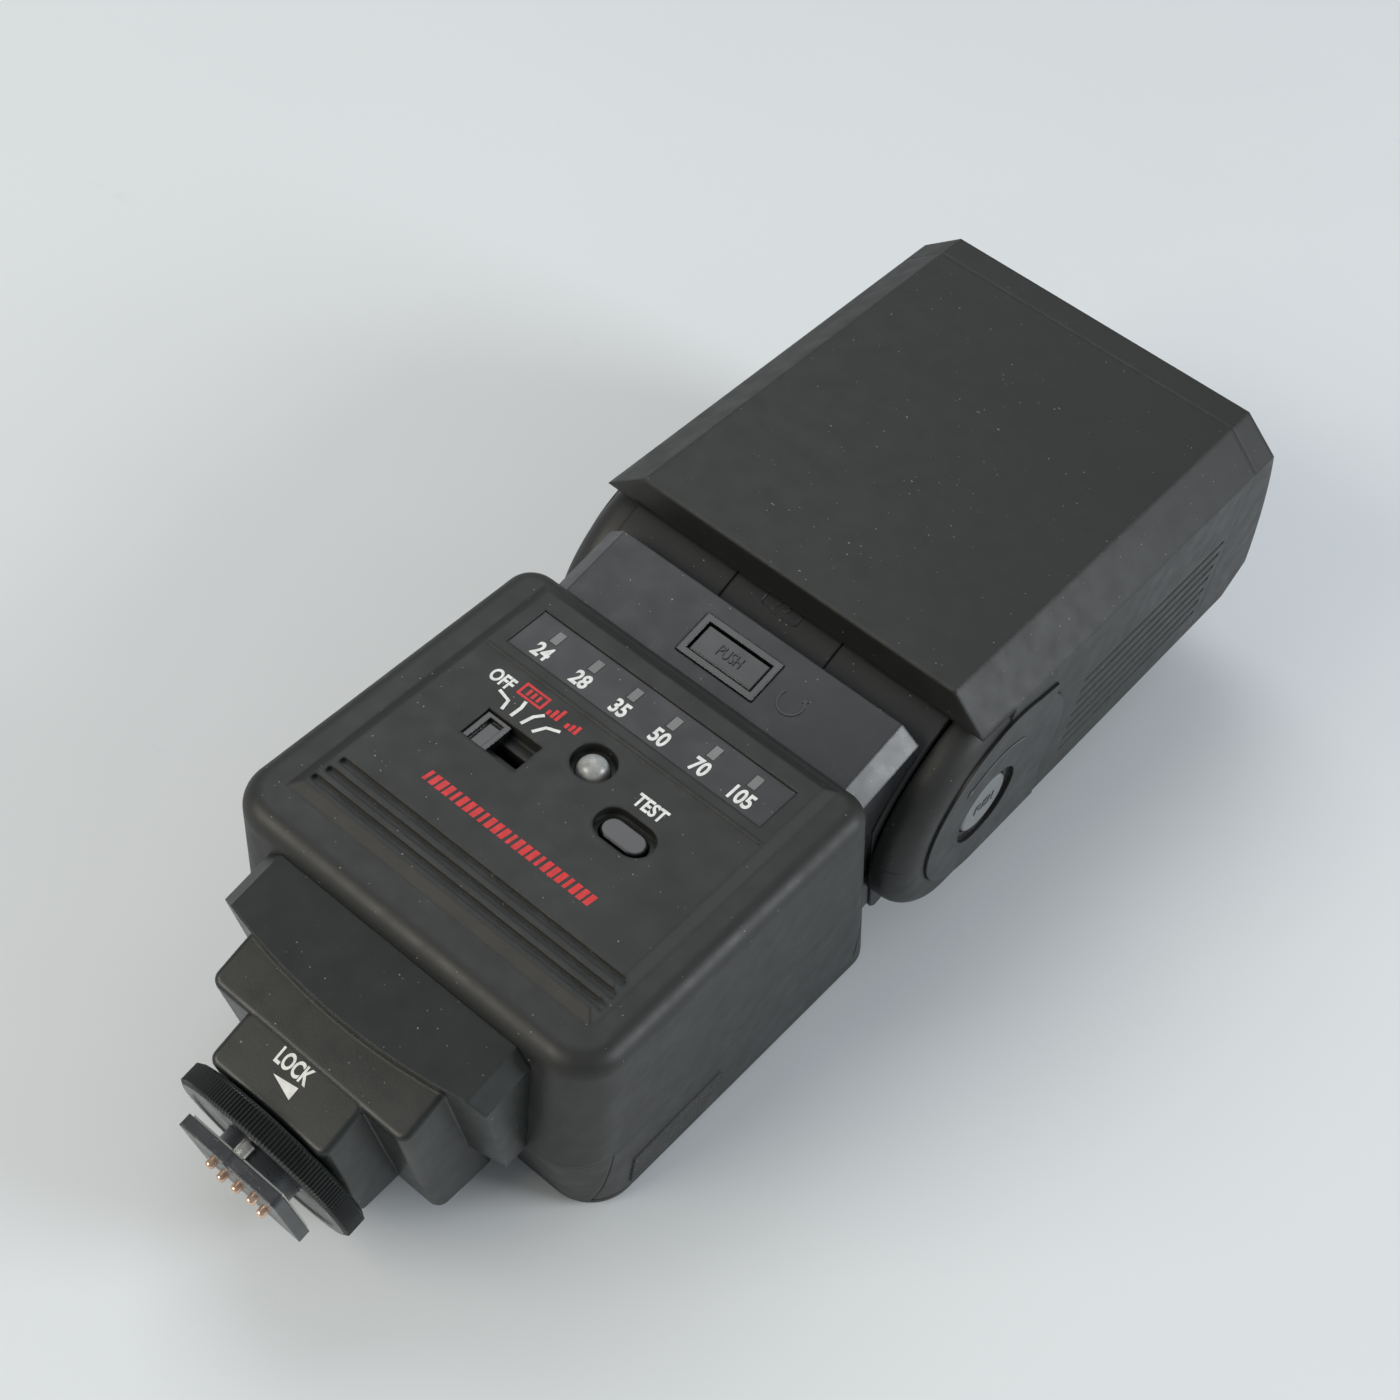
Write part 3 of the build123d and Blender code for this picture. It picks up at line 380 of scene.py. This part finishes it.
# ---------------------------------------------------------------------------
# Scale strip with its six lights. A smoky acrylic strip, snapped into a
# recess, over six small grey diffusers that light up behind it.
# ---------------------------------------------------------------------------
smoke = moulded(
    "smoky_acrylic", (0.013, 0.014, 0.015), 0.34, grain=0.12, grain_per_m=2600.0, edge=2.6,
    edge_mm=0.25, dust=0.7,
)
finish_nodes(smoke, "zoom_scale_window")
diffuser = moulded(
    "light_diffuser", (0.16, 0.165, 0.165), 0.4, grain=0.25, edge=1.2, edge_mm=0.12, dust=0.0,
)
finish_nodes(diffuser, "scale_lights")

# ---------------------------------------------------------------------------
# Ready lamp, slide switch and test key. The lamp is a frosted polycarbonate
# dome; the switch knob and the key are polished black ABS.
# ---------------------------------------------------------------------------
lamp, lamp_tree, lamp_shader = new_material("frosted_lamp")
lamp_tone = blend_colour(
    lamp_tree, spread(lamp_tree, noise(lamp_tree, 700.0, 3.0), 0.35, 0.65, 0, 1),
    (0.36, 0.37, 0.37), (0.50, 0.51, 0.50),
)
lamp_tree.links.new(lamp_tone, lamp_shader.inputs["Base Color"])
lamp_rough = spread(lamp_tree, noise(lamp_tree, 1800.0, 2.0), 0.3, 0.7, 0.16, 0.28)
lamp_tree.links.new(lamp_rough, lamp_shader.inputs["Roughness"])
lamp_bump = lamp_tree.nodes.new("ShaderNodeBump")
lamp_bump.inputs["Strength"].default_value = 0.15
lamp_bump.inputs["Distance"].default_value = 0.02 * MM
lamp_tree.links.new(noise(lamp_tree, 3000.0, 2.0), lamp_bump.inputs["Height"])
lamp_tree.links.new(lamp_bump.outputs["Normal"], lamp_shader.inputs["Normal"])
lamp_shader.inputs["Transmission Weight"].default_value = 0.25
lamp_shader.inputs["Subsurface Weight"].default_value = 0.3
lamp_shader.inputs["Subsurface Radius"].default_value = (0.001, 0.001, 0.001)
finish_nodes(lamp, "ready_lamp")

piano_black = moulded(
    "polished_black", (0.006, 0.006, 0.0065), 0.16, grain=0.05, grain_per_m=1800.0, edge=3.0,
    edge_mm=0.35, dust=0.4, coat=0.4,
)
finish_nodes(piano_black, "mode_slider", "test_button")

# ---------------------------------------------------------------------------
# Foot: a stepped block screwed to the case, moulded in smoother black than
# the case, with the locking direction printed on its lowest step.
# ---------------------------------------------------------------------------
FOOT_BLACK = (0.0095, 0.0125, 0.0115)
foot_black = moulded(
    "foot_abs", FOOT_BLACK, 0.36, grain=0.22, grain_per_m=3600.0, edge=2.2, dust=0.5,
)
finish_nodes(foot_black, "foot_block")

STEP_RISE = math.atan(0.15)
LOCK_Y, LOCK_SIZE = -25.2, 2.5


def on_step(x, y):
    """A place on the sloping back of the two lower steps, in the use frame."""
    return USE @ at(x, y, -8.4 + (y + 32.0) * 0.15) @ Matrix.Rotation(STEP_RISE, 4, "X")


lettering(
    "mark_lock", "LOCK", LOCK_SIZE, on_step(-0.6, LOCK_Y), white_ink, "case",
    0.66,
)
wedge = [(-2.1, 0.35), (2.1, -1.0), (2.1, 1.0)]
flat_marks("lock_wedge", [wedge], on_step(-0.1, -27.9), white_ink, "case")

# ---------------------------------------------------------------------------
# Shoe: dark plated steel plate on a threaded stem, with a sprung leaf on its
# upper side, a steel locking pin, and five sprung gold contact pins.
# ---------------------------------------------------------------------------
gunmetal = moulded(
    "dark_plated_steel", (0.10, 0.105, 0.11), 0.30, grain=0.25, grain_per_m=5200.0, edge=2.2,
    edge_mm=0.3, dust=0.25, metal=1.0, scratch=0.5,
)
finish_nodes(gunmetal, "shoe_plate")
leaf_steel = moulded(
    "spring_steel", (0.56, 0.55, 0.51), 0.20, grain=0.1, edge=1.2, edge_mm=0.1, dust=0.0,
    metal=1.0, scratch=0.4,
)
finish_nodes(leaf_steel, "shoe_spring", "lock_pin", "cell_springs", "guide_rods", "lead_screw",
             "cell_bridges", "swivel_ring", "case_screws", "tilt_pivots")
gold = moulded(
    "gold_plating", (0.80, 0.56, 0.42), 0.14, grain=0.06, edge=1.15, edge_mm=0.15, dust=0.0,
    metal=1.0,
)
finish_nodes(gold, "contact_pins")

# ---------------------------------------------------------------------------
# Lock wheel: glossy black acetal, turned on the threaded stem by its finely
# ridged rim until it clamps the shoe.
# ---------------------------------------------------------------------------
WHEEL_R, WHEEL_LOW, WHEEL_HIGH, WHEEL_BORE = 16.0, -36.0, -32.1, 6.75
RIDGES, RIDGE_DEEP, RIM_CHAMFER = 168, 0.42, 0.45
FLAT_R = WHEEL_R - RIM_CHAMFER - 0.33
DISH_R, DISH_EDGE, DISH_DEEP = 13.6, 0.3, 0.25
FOOT_AXIS_Z = -21.4
RIDGE_SHAPE = (0.0, 0.55, 1.0, 0.55)


def ridged_wheel():
    bm = bmesh.new()
    rings = []
    count = RIDGES * len(RIDGE_SHAPE)
    for i in range(count):
        turn = 2 * math.pi * i / count
        tip = WHEEL_R - RIDGE_DEEP * (1.0 - RIDGE_SHAPE[i % len(RIDGE_SHAPE)])
        profile = (
            (WHEEL_BORE, WHEEL_LOW + DISH_DEEP),
            (DISH_R - DISH_EDGE, WHEEL_LOW + DISH_DEEP),
            (DISH_R, WHEEL_LOW),
            (FLAT_R, WHEEL_LOW),
            (tip, WHEEL_LOW + RIM_CHAMFER),
            (tip, WHEEL_HIGH - RIM_CHAMFER),
            (FLAT_R, WHEEL_HIGH),
            (DISH_R, WHEEL_HIGH),
            (DISH_R - DISH_EDGE, WHEEL_HIGH - DISH_DEEP),
            (WHEEL_BORE, WHEEL_HIGH - DISH_DEEP),
        )
        rings.append([bm.verts.new((r * math.cos(turn), y, r * math.sin(turn))) for r, y in profile])
    for i, ring in enumerate(rings):
        after = rings[(i + 1) % count]
        for j in range(len(ring)):
            k = (j + 1) % len(ring)
            bm.faces.new((ring[j], ring[k], after[k], after[j]))
    bmesh.ops.recalc_face_normals(bm, faces=bm.faces)
    mesh = bpy.data.meshes.new("ridged_lock_wheel")
    bm.to_mesh(mesh)
    bm.free()
    return mesh


wheel_mesh = ridged_wheel()
wheel_mesh.transform(USE @ at(0, 0, FOOT_AXIS_Z) @ TO_METRES)
wheel_black = moulded(
    "polished_acetal", (0.012, 0.014, 0.0135), 0.27, grain=0.12, grain_per_m=3000.0, edge=3.2,
    edge_mm=0.18, dust=0.6,
)
wheel = add_piece("ridged_lock_wheel", wheel_mesh, wheel_black, "wheel")
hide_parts("lock_wheel")

# ---------------------------------------------------------------------------
# Focus-assist window in the foot end of the front cover: deep red acrylic in
# front of a small lamp.
# ---------------------------------------------------------------------------
red_acrylic = moulded(
    "deep_red_acrylic", (0.085, 0.003, 0.006), 0.10, grain=0.04, grain_per_m=900.0, edge=1.8,
    edge_mm=0.3, dust=0.3, coat=0.8,
)
finish_nodes(red_acrylic, "af_window")
emitter_glass = moulded(
    "emitter_epoxy", (0.30, 0.02, 0.02), 0.12, grain=0.05, edge=1.2, edge_mm=0.1, dust=0.0,
    coat=0.5,
)
finish_nodes(emitter_glass, "af_emitter")

# ---------------------------------------------------------------------------
# Neck: block and front plate on the swivel post, with the hinge drum. Black
# satin ABS, bluer and smoother than the case. The release key sits in a
# polished bezel and reads by raised letters, beside a raised turning arrow.
# ---------------------------------------------------------------------------
NECK_BLACK = (0.0105, 0.0115, 0.0135)
neck_black = moulded(
    "neck_abs", NECK_BLACK, 0.30, grain=0.14, grain_per_m=3800.0, edge=2.6, edge_mm=0.55,
)
finish_nodes(neck_black, "neck_block", "neck_front_plate", "swivel_post")
drum_black = moulded("drum_abs", (0.010, 0.0105, 0.0105), 0.44, grain=0.26, edge=1.8)
finish_nodes(drum_black, "hinge_drum")
finish_nodes(piano_black, "neck_button_bezel")
key_black = moulded(
    "key_abs", (0.008, 0.009, 0.0105), 0.22, grain=0.1, grain_per_m=3000.0, edge=3.0,
    edge_mm=0.3, coat=0.3,
)
finish_nodes(key_black, "neck_button")

NECK_FACE_Z, KEY_Y = -20.7, 65.9
KEY_TOP_Z = NECK_FACE_Z - 0.1
RAISED = 0.14
raised_black = moulded(
    "raised_abs", (0.016, 0.017, 0.019), 0.20, grain=0.05, edge=2.2, edge_mm=0.15, dust=0.0,
)
lettering(
    "key_push", "PUSH", 2.1, USE @ at(0, KEY_Y, KEY_TOP_Z), raised_black, "neck_key",
    0.70, thick=RAISED, heavy=0.0,
)


def turn_arrow(x, y, r, start, end, width, head):
    """A curved arrow: an arc with a barb at its end."""
    body_line = stroke(arc(x, y, r, start, end), width)
    t = math.radians(end)
    side = 1.0 if end > start else -1.0
    out_x, out_y = math.cos(t), math.sin(t)
    tip = (x + r * out_x - side * head * out_y, y + r * out_y + side * head * out_x)
    barb = head * 0.62
    inner = (x + (r - barb) * out_x, y + (r - barb) * out_y)
    outer = (x + (r + barb) * out_x, y + (r + barb) * out_y)
    return [body_line, [inner, outer, tip]]


flat_marks(
    "neck_arrow", turn_arrow(12.3, 65.6, 2.2, 150.0, 395.0, 0.42, 0.95),
    USE @ at(0, 0, NECK_FACE_Z), raised_black, "neck", thick=0.10,
)


# the drum's angle number, in a raised rounded frame that follows its curve
DRUM_R, NUMBER_X, NUMBER_TURN = 25.3, -0.9, 110.4


def wrapped_on_drum(mesh):
    """Wraps a flat mesh in millimetres, Y round the drum and Z out of it, about the hinge."""
    for v in mesh.vertices:
        x, y, z = v.co
        turn = math.radians(NUMBER_TURN) - y / DRUM_R
        r = DRUM_R + z
        v.co = (NUMBER_X + x, r * math.cos(turn), r * math.sin(turn))
    mesh.transform(HEAD @ TO_METRES)
    return mesh


number = lettering("drum_number", "75", 2.6, TO_METRES.inverted(), raised_black, "neck",
                   0.85, thick=RAISED, heavy=0.0)
wrapped_on_drum(number.data)


def frame_line(half_x, half_y, corner, steps=6):
    points = []
    for cx, cy, start in ((1, 1, 0), (-1, 1, 90), (-1, -1, 180), (1, -1, 270)):
        points += arc(cx * (half_x - corner), cy * (half_y - corner), corner, start, start + 90, steps)
    return points


def raised_ring(name, outer, inner, thick):
    bm = bmesh.new()
    levels = []
    for points, z in ((outer, 0.0), (outer, thick), (inner, thick), (inner, 0.0)):
        levels.append([bm.verts.new((x, y, z)) for x, y in points])
    for a, b in zip(levels, levels[1:] + levels[:1]):
        for i in range(len(a)):
            j = (i + 1) % len(a)
            bm.faces.new((a[i], a[j], b[j], b[i]))
    bmesh.ops.recalc_face_normals(bm, faces=bm.faces)
    mesh = bpy.data.meshes.new(name)
    bm.to_mesh(mesh)
    bm.free()
    return mesh


frame_outer, frame_inner = frame_line(3.7, 2.2, 0.8), frame_line(3.4, 1.9, 0.6)
ring_mesh = wrapped_on_drum(raised_ring("drum_number_frame", frame_outer, frame_inner, RAISED))
add_piece("drum_number_frame", ring_mesh, raised_black, "neck")

# ---------------------------------------------------------------------------
# Head: top and lower shells and the lens bezel, in the same grained charcoal
# ABS as the case, with separate ear covers over the tilt pivots.
# ---------------------------------------------------------------------------
# the wider, lighter edge band on the head is partly rub wear and partly a painted highlight along its
# edges and lip
head_charcoal = moulded("head_abs", CHARCOAL, 0.50, grain=0.32, edge=2.4, edge_mm=1.1, drift=0.06)
finish_nodes(head_charcoal, "head_top_shell", "head_low_shell", "lens_bezel")
cover_charcoal = moulded(
    "ear_cover_abs", scaled(CHARCOAL, 0.85), 0.42, grain=0.24, edge=2.2, edge_mm=0.3,
)
finish_nodes(cover_charcoal, "left_ear_cover", "right_ear_cover")

# ---------------------------------------------------------------------------
# Tilt release key in the right ear: silver-grey painted ABS with raised
# letters, in a round dish, beside a curved arrow on the cover.
# ---------------------------------------------------------------------------
EAR_X, TILT_KEY_X = 38.5, 38.1
key_silver = moulded(
    "silver_paint", (0.22, 0.23, 0.235), 0.34, grain=0.35, grain_per_m=5200.0, edge=1.7,
    edge_mm=0.35, dust=0.3, metal=0.35,
)
finish_nodes(key_silver, "tilt_button")
OUT_OF_EAR = Matrix(((0, 0, 1, 0), (0, 1, 0, 0), (-1, 0, 0, 0), (0, 0, 0, 1)))
EAR_TEXT_TURN = math.radians(90.0)


def on_ear(x, y, z):
    """A place on the right ear, its X-Y plane facing out, letters reading along the head."""
    return HEAD @ at(x, y, z) @ OUT_OF_EAR


raised_silver = moulded(
    "raised_silver", (0.13, 0.135, 0.14), 0.30, grain=0.2, edge=1.6, edge_mm=0.12, dust=0.0,
    metal=0.35,
)
lettering(
    "tilt_push", "PUSH", 2.3, on_ear(TILT_KEY_X, 0, 0) @ Matrix.Rotation(EAR_TEXT_TURN, 4, "Z"),
    raised_silver, "tilt_key", 0.72, thick=RAISED, heavy=0.0,
)
flat_marks("tilt_arrow", turn_arrow(0.0, 0.0, 13.4, 150.0, 215.0, 0.45, 1.5), on_ear(EAR_X, 0, 0),
           raised_black, "head", thick=0.10)

# ---------------------------------------------------------------------------
# Flash window: a clear acrylic Fresnel lens, smooth outside and with fine
# straight steps inside, in front of the lamp. Behind it slides the milky
# pull-out panel that widens the beam.
# ---------------------------------------------------------------------------
LENS_WIDE, LENS_TALL, LENS_THICK = 62.0, 31.5, 1.6
LENS_Y, LENS_Z, LENS_TILT = 86.4, 4.5, math.radians(17.0)
STEP_PITCH, STEP_DEEP = 0.75, 0.55


def stepped_lens():
    """A slab whose inner face is a row of straight saw steps that steepen to the edges."""
    count = round(LENS_TALL / STEP_PITCH)
    inner = []
    for i in range(count):
        z0 = -LENS_TALL / 2 + LENS_TALL * i / count
        z1 = -LENS_TALL / 2 + LENS_TALL * (i + 1) / count
        steep = (z0 + z1) / LENS_TALL
        near = -LENS_THICK / 2 + 0.05
        far = near + STEP_DEEP * abs(steep)
        inner += [(z0 + 0.001, near if steep < 0 else far), (z1 - 0.001, far if steep < 0 else near)]
    bm = bmesh.new()
    half = LENS_WIDE / 2
    outline = inner + [(LENS_TALL / 2, LENS_THICK / 2), (-LENS_TALL / 2, LENS_THICK / 2)]
    left = [bm.verts.new((-half, y, z)) for z, y in outline]
    right = [bm.verts.new((half, y, z)) for z, y in outline]
    for i in range(len(outline)):
        j = (i + 1) % len(outline)
        bm.faces.new((left[i], left[j], right[j], right[i]))
    bm.faces.new(left[::-1])
    bm.faces.new(right)
    bmesh.ops.recalc_face_normals(bm, faces=bm.faces)
    mesh = bpy.data.meshes.new("stepped_lens")
    bm.to_mesh(mesh)
    bm.free()
    place = HEAD @ at(0, LENS_Y, LENS_Z) @ Matrix.Rotation(LENS_TILT, 4, "X")
    mesh.transform(place @ TO_METRES)
    return mesh


def clear(name, colour, rough, scale, strength, transmission=1.0):
    """A clear or milky moulding with faint flow waves."""
    material, tree, shader = new_material(name)
    drift = spread(tree, noise(tree, 90.0, 2.0), 0.35, 0.65, 0.0, 1.0)
    tree.links.new(blend_colour(tree, drift, scaled(colour, 0.95), colour), shader.inputs["Base Color"])
    gloss = spread(tree, noise(tree, 500.0, 3.0), 0.3, 0.7, rough, rough + 0.05)
    tree.links.new(gloss, shader.inputs["Roughness"])
    bump = tree.nodes.new("ShaderNodeBump")
    bump.inputs["Strength"].default_value = strength
    bump.inputs["Distance"].default_value = 0.05 * MM
    tree.links.new(noise(tree, scale, 2.0), bump.inputs["Height"])
    tree.links.new(bump.outputs["Normal"], shader.inputs["Normal"])
    shader.inputs["Transmission Weight"].default_value = transmission
    shader.inputs["IOR"].default_value = 1.49
    return material


acrylic = clear("clear_acrylic", (0.94, 0.96, 0.97), 0.03, 300.0, 0.1)
lens = add_piece("stepped_lens", stepped_lens(), acrylic, "head")
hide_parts("fresnel_lens")
finish_nodes(clear("milky_acrylic", (0.80, 0.82, 0.82), 0.35, 1500.0, 0.3, 0.55), "wide_panel")

# ---------------------------------------------------------------------------
# Lamp: a xenon tube in a bright rolled-aluminium reflector, on a carriage
# that a small motor and screw move along two rods.
# ---------------------------------------------------------------------------
mirror = moulded(
    "bright_aluminium", (0.88, 0.89, 0.90), 0.12, grain=0.08, grain_per_m=1500.0, edge=1.05,
    edge_mm=0.1, dust=0.0, metal=1.0, scratch=0.3,
)
finish_nodes(mirror, "reflector")
finish_nodes(clear("tube_glass", (0.95, 0.96, 0.97), 0.02, 200.0, 0.05), "flash_tube")
inside_plastic = moulded(
    "inner_abs", (0.035, 0.035, 0.04), 0.45, grain=0.25, edge=1.6, edge_mm=0.3, dust=0.0,
)
finish_nodes(inside_plastic, "zoom_carriage", "cell_tray", "panel_switches")
motor_can = moulded(
    "motor_can", (0.45, 0.45, 0.44), 0.3, grain=0.2, edge=1.3, edge_mm=0.2, dust=0.0, metal=1.0,
    scratch=0.4,
)
finish_nodes(motor_can, "zoom_motor")

# ---------------------------------------------------------------------------
# Inside the case: two green glass-fibre boards, the sleeved flash capacitor,
# the ferrite-cored transformer and four AA cells.
# ---------------------------------------------------------------------------
board = moulded(
    "solder_mask", (0.02, 0.11, 0.04), 0.35, grain=0.3, grain_per_m=1600.0, edge=1.4,
    edge_mm=0.15, dust=0.0, drift=0.3,
)
finish_nodes(board, "main_board", "power_board")
sleeve = moulded(
    "capacitor_sleeve", (0.016, 0.017, 0.02), 0.22, grain=0.1, edge=1.8, edge_mm=0.4, dust=0.0,
    coat=0.3,
)
finish_nodes(sleeve, "main_capacitor")
ferrite = moulded(
    "ferrite", (0.05, 0.05, 0.05), 0.6, grain=0.6, grain_per_m=2600.0, edge=1.4, edge_mm=0.2,
    dust=0.0,
)
finish_nodes(ferrite, "oscillator_transformer")
cell_wrap = moulded(
    "cell_wrap", (0.60, 0.46, 0.14), 0.28, grain=0.1, edge=1.3, edge_mm=0.3, dust=0.0, coat=0.4,
    scratch=0.3,
)
finish_nodes(cell_wrap, "cells")

# ---------------------------------------------------------------------------
# The table: a wide sheet of pale, slightly blue card, matt, with a few faint
# scuffs, that the flash lies on.
# ---------------------------------------------------------------------------
TABLE_SIDE, TABLE_PARTS = 9.0, 24


def table_mesh():
    bm = bmesh.new()
    bmesh.ops.create_grid(bm, x_segments=TABLE_PARTS, y_segments=TABLE_PARTS, size=TABLE_SIDE / 2)
    mesh = bpy.data.meshes.new("table")
    bm.to_mesh(mesh)
    bm.free()
    return mesh


table = bpy.data.objects.new("table", table_mesh())
bpy.context.scene.collection.objects.link(table)
table.location = (0.0, 0.0, cad_low.z)
card, card_tree, card_shader = new_material("pale_card")
card_patches = spread(card_tree, noise(card_tree, 6.0, 3.0), 0.3, 0.7, 0.0, 1.0)
card_tone = blend_colour(card_tree, card_patches, (0.700, 0.730, 0.750), (0.715, 0.745, 0.765))
card_scuffs = spread(card_tree, noise(card_tree, 42.0, 5.0, (1.0, 2.5, 1.0)), 0.70, 0.80, 0.0, 0.35)
card_tone = blend_colour(card_tree, card_scuffs, card_tone, (0.60, 0.64, 0.68))
card_tree.links.new(card_tone, card_shader.inputs["Base Color"])
card_rough = spread(card_tree, noise(card_tree, 30.0, 3.0), 0.3, 0.7, 0.55, 0.68)
card_tree.links.new(card_rough, card_shader.inputs["Roughness"])
table.data.materials.append(card)

# ---------------------------------------------------------------------------
# Studio: a warm soft box low on the foot's side, a cool one overhead, and a
# pale room. The camera stands over the foot's right.
# ---------------------------------------------------------------------------
centre = (cad_low + cad_high) / 2


def soft_box(name, offset, size, power, colour):
    light = bpy.data.lights.new(name, "AREA")
    light.shape = "RECTANGLE"
    light.size, light.size_y = size
    light.energy = power
    light.color = colour
    holder = bpy.data.objects.new(name, light)
    bpy.context.scene.collection.objects.link(holder)
    holder.location = centre + Vector(offset)
    holder.rotation_mode = "QUATERNION"
    holder.rotation_quaternion = (-Vector(offset)).to_track_quat("-Z", "Y")


soft_box("warm_box", (-0.48, -0.98, 0.70), (0.8, 0.5), 9.0, (1.0, 0.93, 0.80))
soft_box("top_box", (-0.62, 0.40, 1.15), (0.9, 0.9), 5.0, (0.97, 0.985, 1.0))
soft_box("side_box", (0.99, 0.46, 0.52), (0.55, 0.40), 8.0, (0.93, 0.97, 1.0))

room = bpy.data.worlds.new("room")
room.use_nodes = True
room.node_tree.nodes["Background"].inputs["Color"].default_value = (0.92, 0.96, 1.0, 1.0)
room.node_tree.nodes["Background"].inputs["Strength"].default_value = 0.36
bpy.context.scene.world = room
bpy.context.scene.view_settings.view_transform = "Standard"

CAMERA_AT = Vector((117.1, -215.97, 304.94)) * MM
CAMERA_RIGHT = Vector((0.7644, 0.6277, 0.1470)).normalized()
CAMERA_AHEAD = Vector((-0.3352, 0.5818, -0.7411)).normalized()
CAMERA_LENS, CAMERA_SENSOR = 58.33, 36.0
camera_up = CAMERA_RIGHT.cross(CAMERA_AHEAD).normalized()
camera_right = CAMERA_AHEAD.cross(camera_up).normalized()
camera = bpy.data.objects.new("camera", bpy.data.cameras.new("camera"))
bpy.context.scene.collection.objects.link(camera)
camera.data.lens = CAMERA_LENS
camera.data.sensor_width = CAMERA_SENSOR
camera.data.clip_start = 0.01
camera.data.clip_end = 50.0
stand = Matrix((camera_right, camera_up, -CAMERA_AHEAD)).transposed().to_4x4()
stand.translation = CAMERA_AT
camera.matrix_world = stand
bpy.context.scene.camera = camera
